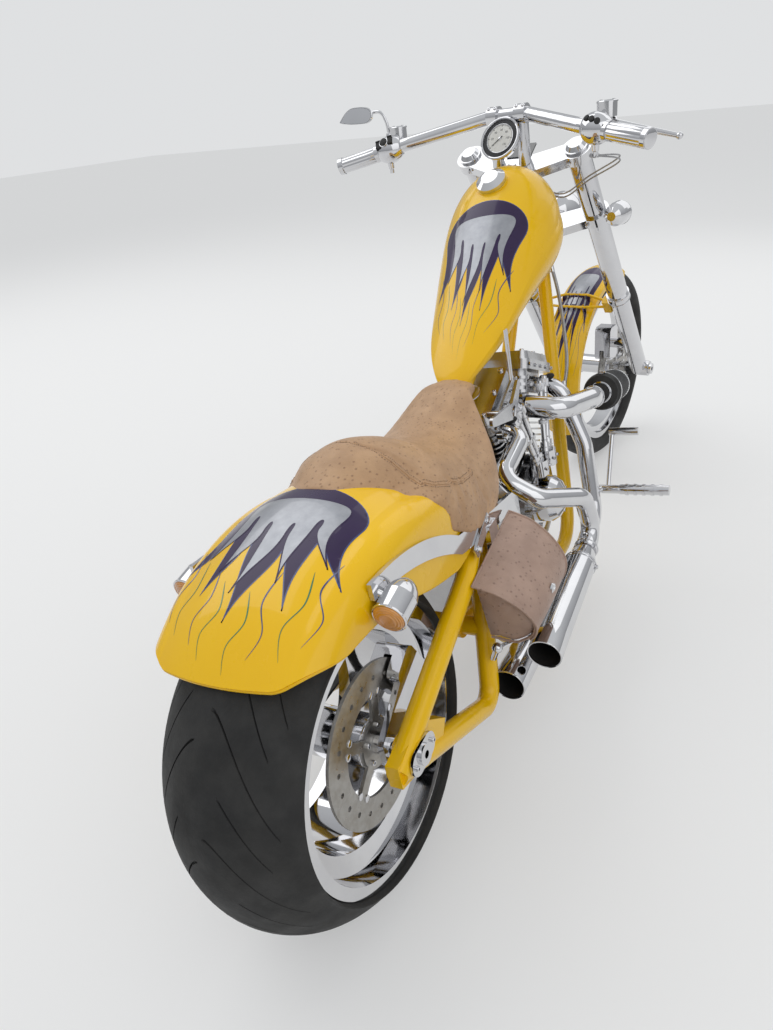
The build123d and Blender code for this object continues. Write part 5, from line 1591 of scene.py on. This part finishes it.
class CHOPPER_OT_stage(bpy.types.Operator):
    """Set the camera, the floor and the studio light"""

    bl_idname = "chopper.stage"
    bl_label = "Stage"

    def execute(self, context):
        setup = context.scene.chopper_stage
        scene = context.scene
        scene.view_settings.view_transform = "Standard"
        camera = bpy.data.objects.new("camera", bpy.data.cameras.new("camera"))
        scene.collection.objects.link(camera)
        scene.camera = camera
        camera.data.lens = setup.lens
        camera.data.sensor_width = 36
        look = Vector(
            (
                math.cos(setup.yaw) * math.cos(setup.pitch),
                math.sin(setup.yaw) * math.cos(setup.pitch),
                -math.sin(setup.pitch),
            )
        )
        right = Vector((math.sin(setup.yaw), -math.cos(setup.yaw), 0))
        over = right.cross(look)
        across = right * math.cos(setup.roll) + over * math.sin(setup.roll)
        top = over * math.cos(setup.roll) - right * math.sin(setup.roll)
        pose = Matrix((across, top, -look)).transposed().to_4x4()
        pose.translation = Vector(setup.place)
        camera.matrix_world = stand @ pose
        mesh = bpy.data.meshes.new("floor")
        corners = [(x, y, 0) for x, y in ((-1, -1), (1, -1), (1, 1), (-1, 1))]
        mesh.from_pydata([Vector(c) * FLOOR_REACH for c in corners], [], [(0, 1, 2, 3)])
        floor = bpy.data.objects.new("floor", mesh)
        scene.collection.objects.link(floor)
        ground, tree, shader = new_material("floor_paper")
        fill(shader, Base_Color=(0.52, 0.52, 0.515, 1), Roughness=0.95, Specular_IOR_Level=0.1)
        fill(shader, Emission_Color=(1, 1, 1, 1))
        seen = node(tree, "ShaderNodeLightPath")
        direct = node(tree, "ShaderNodeMath", operation="MAXIMUM")
        level = node(tree, "ShaderNodeMath", operation="MULTIPLY")
        link = tree.links.new
        link(seen.outputs["Is Camera Ray"], direct.inputs[0])
        link(seen.outputs["Is Glossy Ray"], direct.inputs[1])
        link(direct.outputs[0], level.inputs[0])
        level.inputs[1].default_value = FLOOR_GLOW
        link(level.outputs[0], shader.inputs["Emission Strength"])
        mesh.materials.append(ground)
        world = bpy.data.worlds.new("studio")
        scene.world = world
        world.use_nodes = True
        tree = world.node_tree
        back = tree.nodes["Background"]
        ramp = node(tree, "ShaderNodeValToRGB")
        where = node(tree, "ShaderNodeTexCoord")
        split = node(tree, "ShaderNodeSeparateXYZ")
        tree.links.new(where.outputs["Generated"], split.inputs[0])
        tree.links.new(split.outputs["Z"], ramp.inputs["Fac"])
        stops = ramp.color_ramp.elements
        stops[0].position, stops[0].color = 0.0, (0.4, 0.41, 0.42, 1)
        stops[1].position, stops[1].color = 0.8, (0.78, 0.8, 0.82, 1)
        low = stops.new(0.14)
        low.color = (0.5, 0.51, 0.53, 1)
        tree.links.new(ramp.outputs["Color"], back.inputs["Color"])
        fill(back, Strength=0.85)
        pale = node(tree, "ShaderNodeBackground", Color=(0.74, 0.75, 0.76, 1))
        ray = node(tree, "ShaderNodeLightPath")
        choose = node(tree, "ShaderNodeMixShader")
        tree.links.new(ray.outputs["Is Camera Ray"], choose.inputs["Fac"])
        tree.links.new(back.outputs[0], choose.inputs[1])
        tree.links.new(pale.outputs[0], choose.inputs[2])
        tree.links.new(choose.outputs[0], tree.nodes["World Output"].inputs["Surface"])
        for name, place, size, power in (
            ("key", (0.8, 4.2, 5.4), 6.0, setup.key_power * 1.6),
            ("fill", (-2.2, -3.4, 3.0), 4.5, setup.key_power * 0.5),
            ("front", (4.0, -1.0, 3.4), 4.0, setup.key_power * 0.4),
        ):
            lamp = bpy.data.objects.new(name, bpy.data.lights.new(name, "AREA"))
            lamp.data.energy = power
            lamp.data.size = size
            lamp.location = place
            lamp.rotation_euler = (Vector((0, 0, 0.5)) - Vector(place)).to_track_quat("-Z", "Y").to_euler()
            scene.collection.objects.link(lamp)
        return {"FINISHED"}


class CHOPPER_PT_panel(bpy.types.Panel):
    """Every step of the dressing"""

    bl_label = "Chopper"
    bl_idname = "CHOPPER_PT_panel"
    bl_space_type = "VIEW_3D"
    bl_region_type = "UI"
    bl_category = "Chopper"

    def draw(self, context):
        for step in STEPS:
            self.layout.operator(step.bl_idname)
        for group_name in ("chopper_look", "chopper_stage"):
            values = getattr(context.scene, group_name)
            for key in values.bl_rna.properties.keys():
                if key not in ("rna_type", "name"):
                    self.layout.prop(values, key)


STEPS = (
    CHOPPER_OT_stage,
    CHOPPER_OT_finishes,
    CHOPPER_OT_rear_fender,
    CHOPPER_OT_flames,
    CHOPPER_OT_tyres,
    CHOPPER_OT_seat,
    CHOPPER_OT_tool_bag,
    CHOPPER_OT_controls,
    CHOPPER_OT_gauge,
    CHOPPER_OT_mirror,
    CHOPPER_OT_lamps,
    CHOPPER_OT_engine,
    CHOPPER_OT_filter,
    CHOPPER_OT_exhausts,
    CHOPPER_OT_running_gear,
)
GROUPS = {"chopper_look": ChopperLook, "chopper_stage": ChopperStage}


def register():
    for kind in (*GROUPS.values(), *STEPS, CHOPPER_PT_panel):
        bpy.utils.register_class(kind)
    for name, kind in GROUPS.items():
        setattr(bpy.types.Scene, name, bpy.props.PointerProperty(type=kind))


def unregister():
    for name in GROUPS:
        delattr(bpy.types.Scene, name)
    for kind in (CHOPPER_PT_panel, *reversed(STEPS), *GROUPS.values()):
        bpy.utils.unregister_class(kind)


def main():
    register()
    for step in STEPS:
        area, action = step.bl_idname.split(".")
        getattr(getattr(bpy.ops, area), action)()


if __name__ == "__main__":
    main()
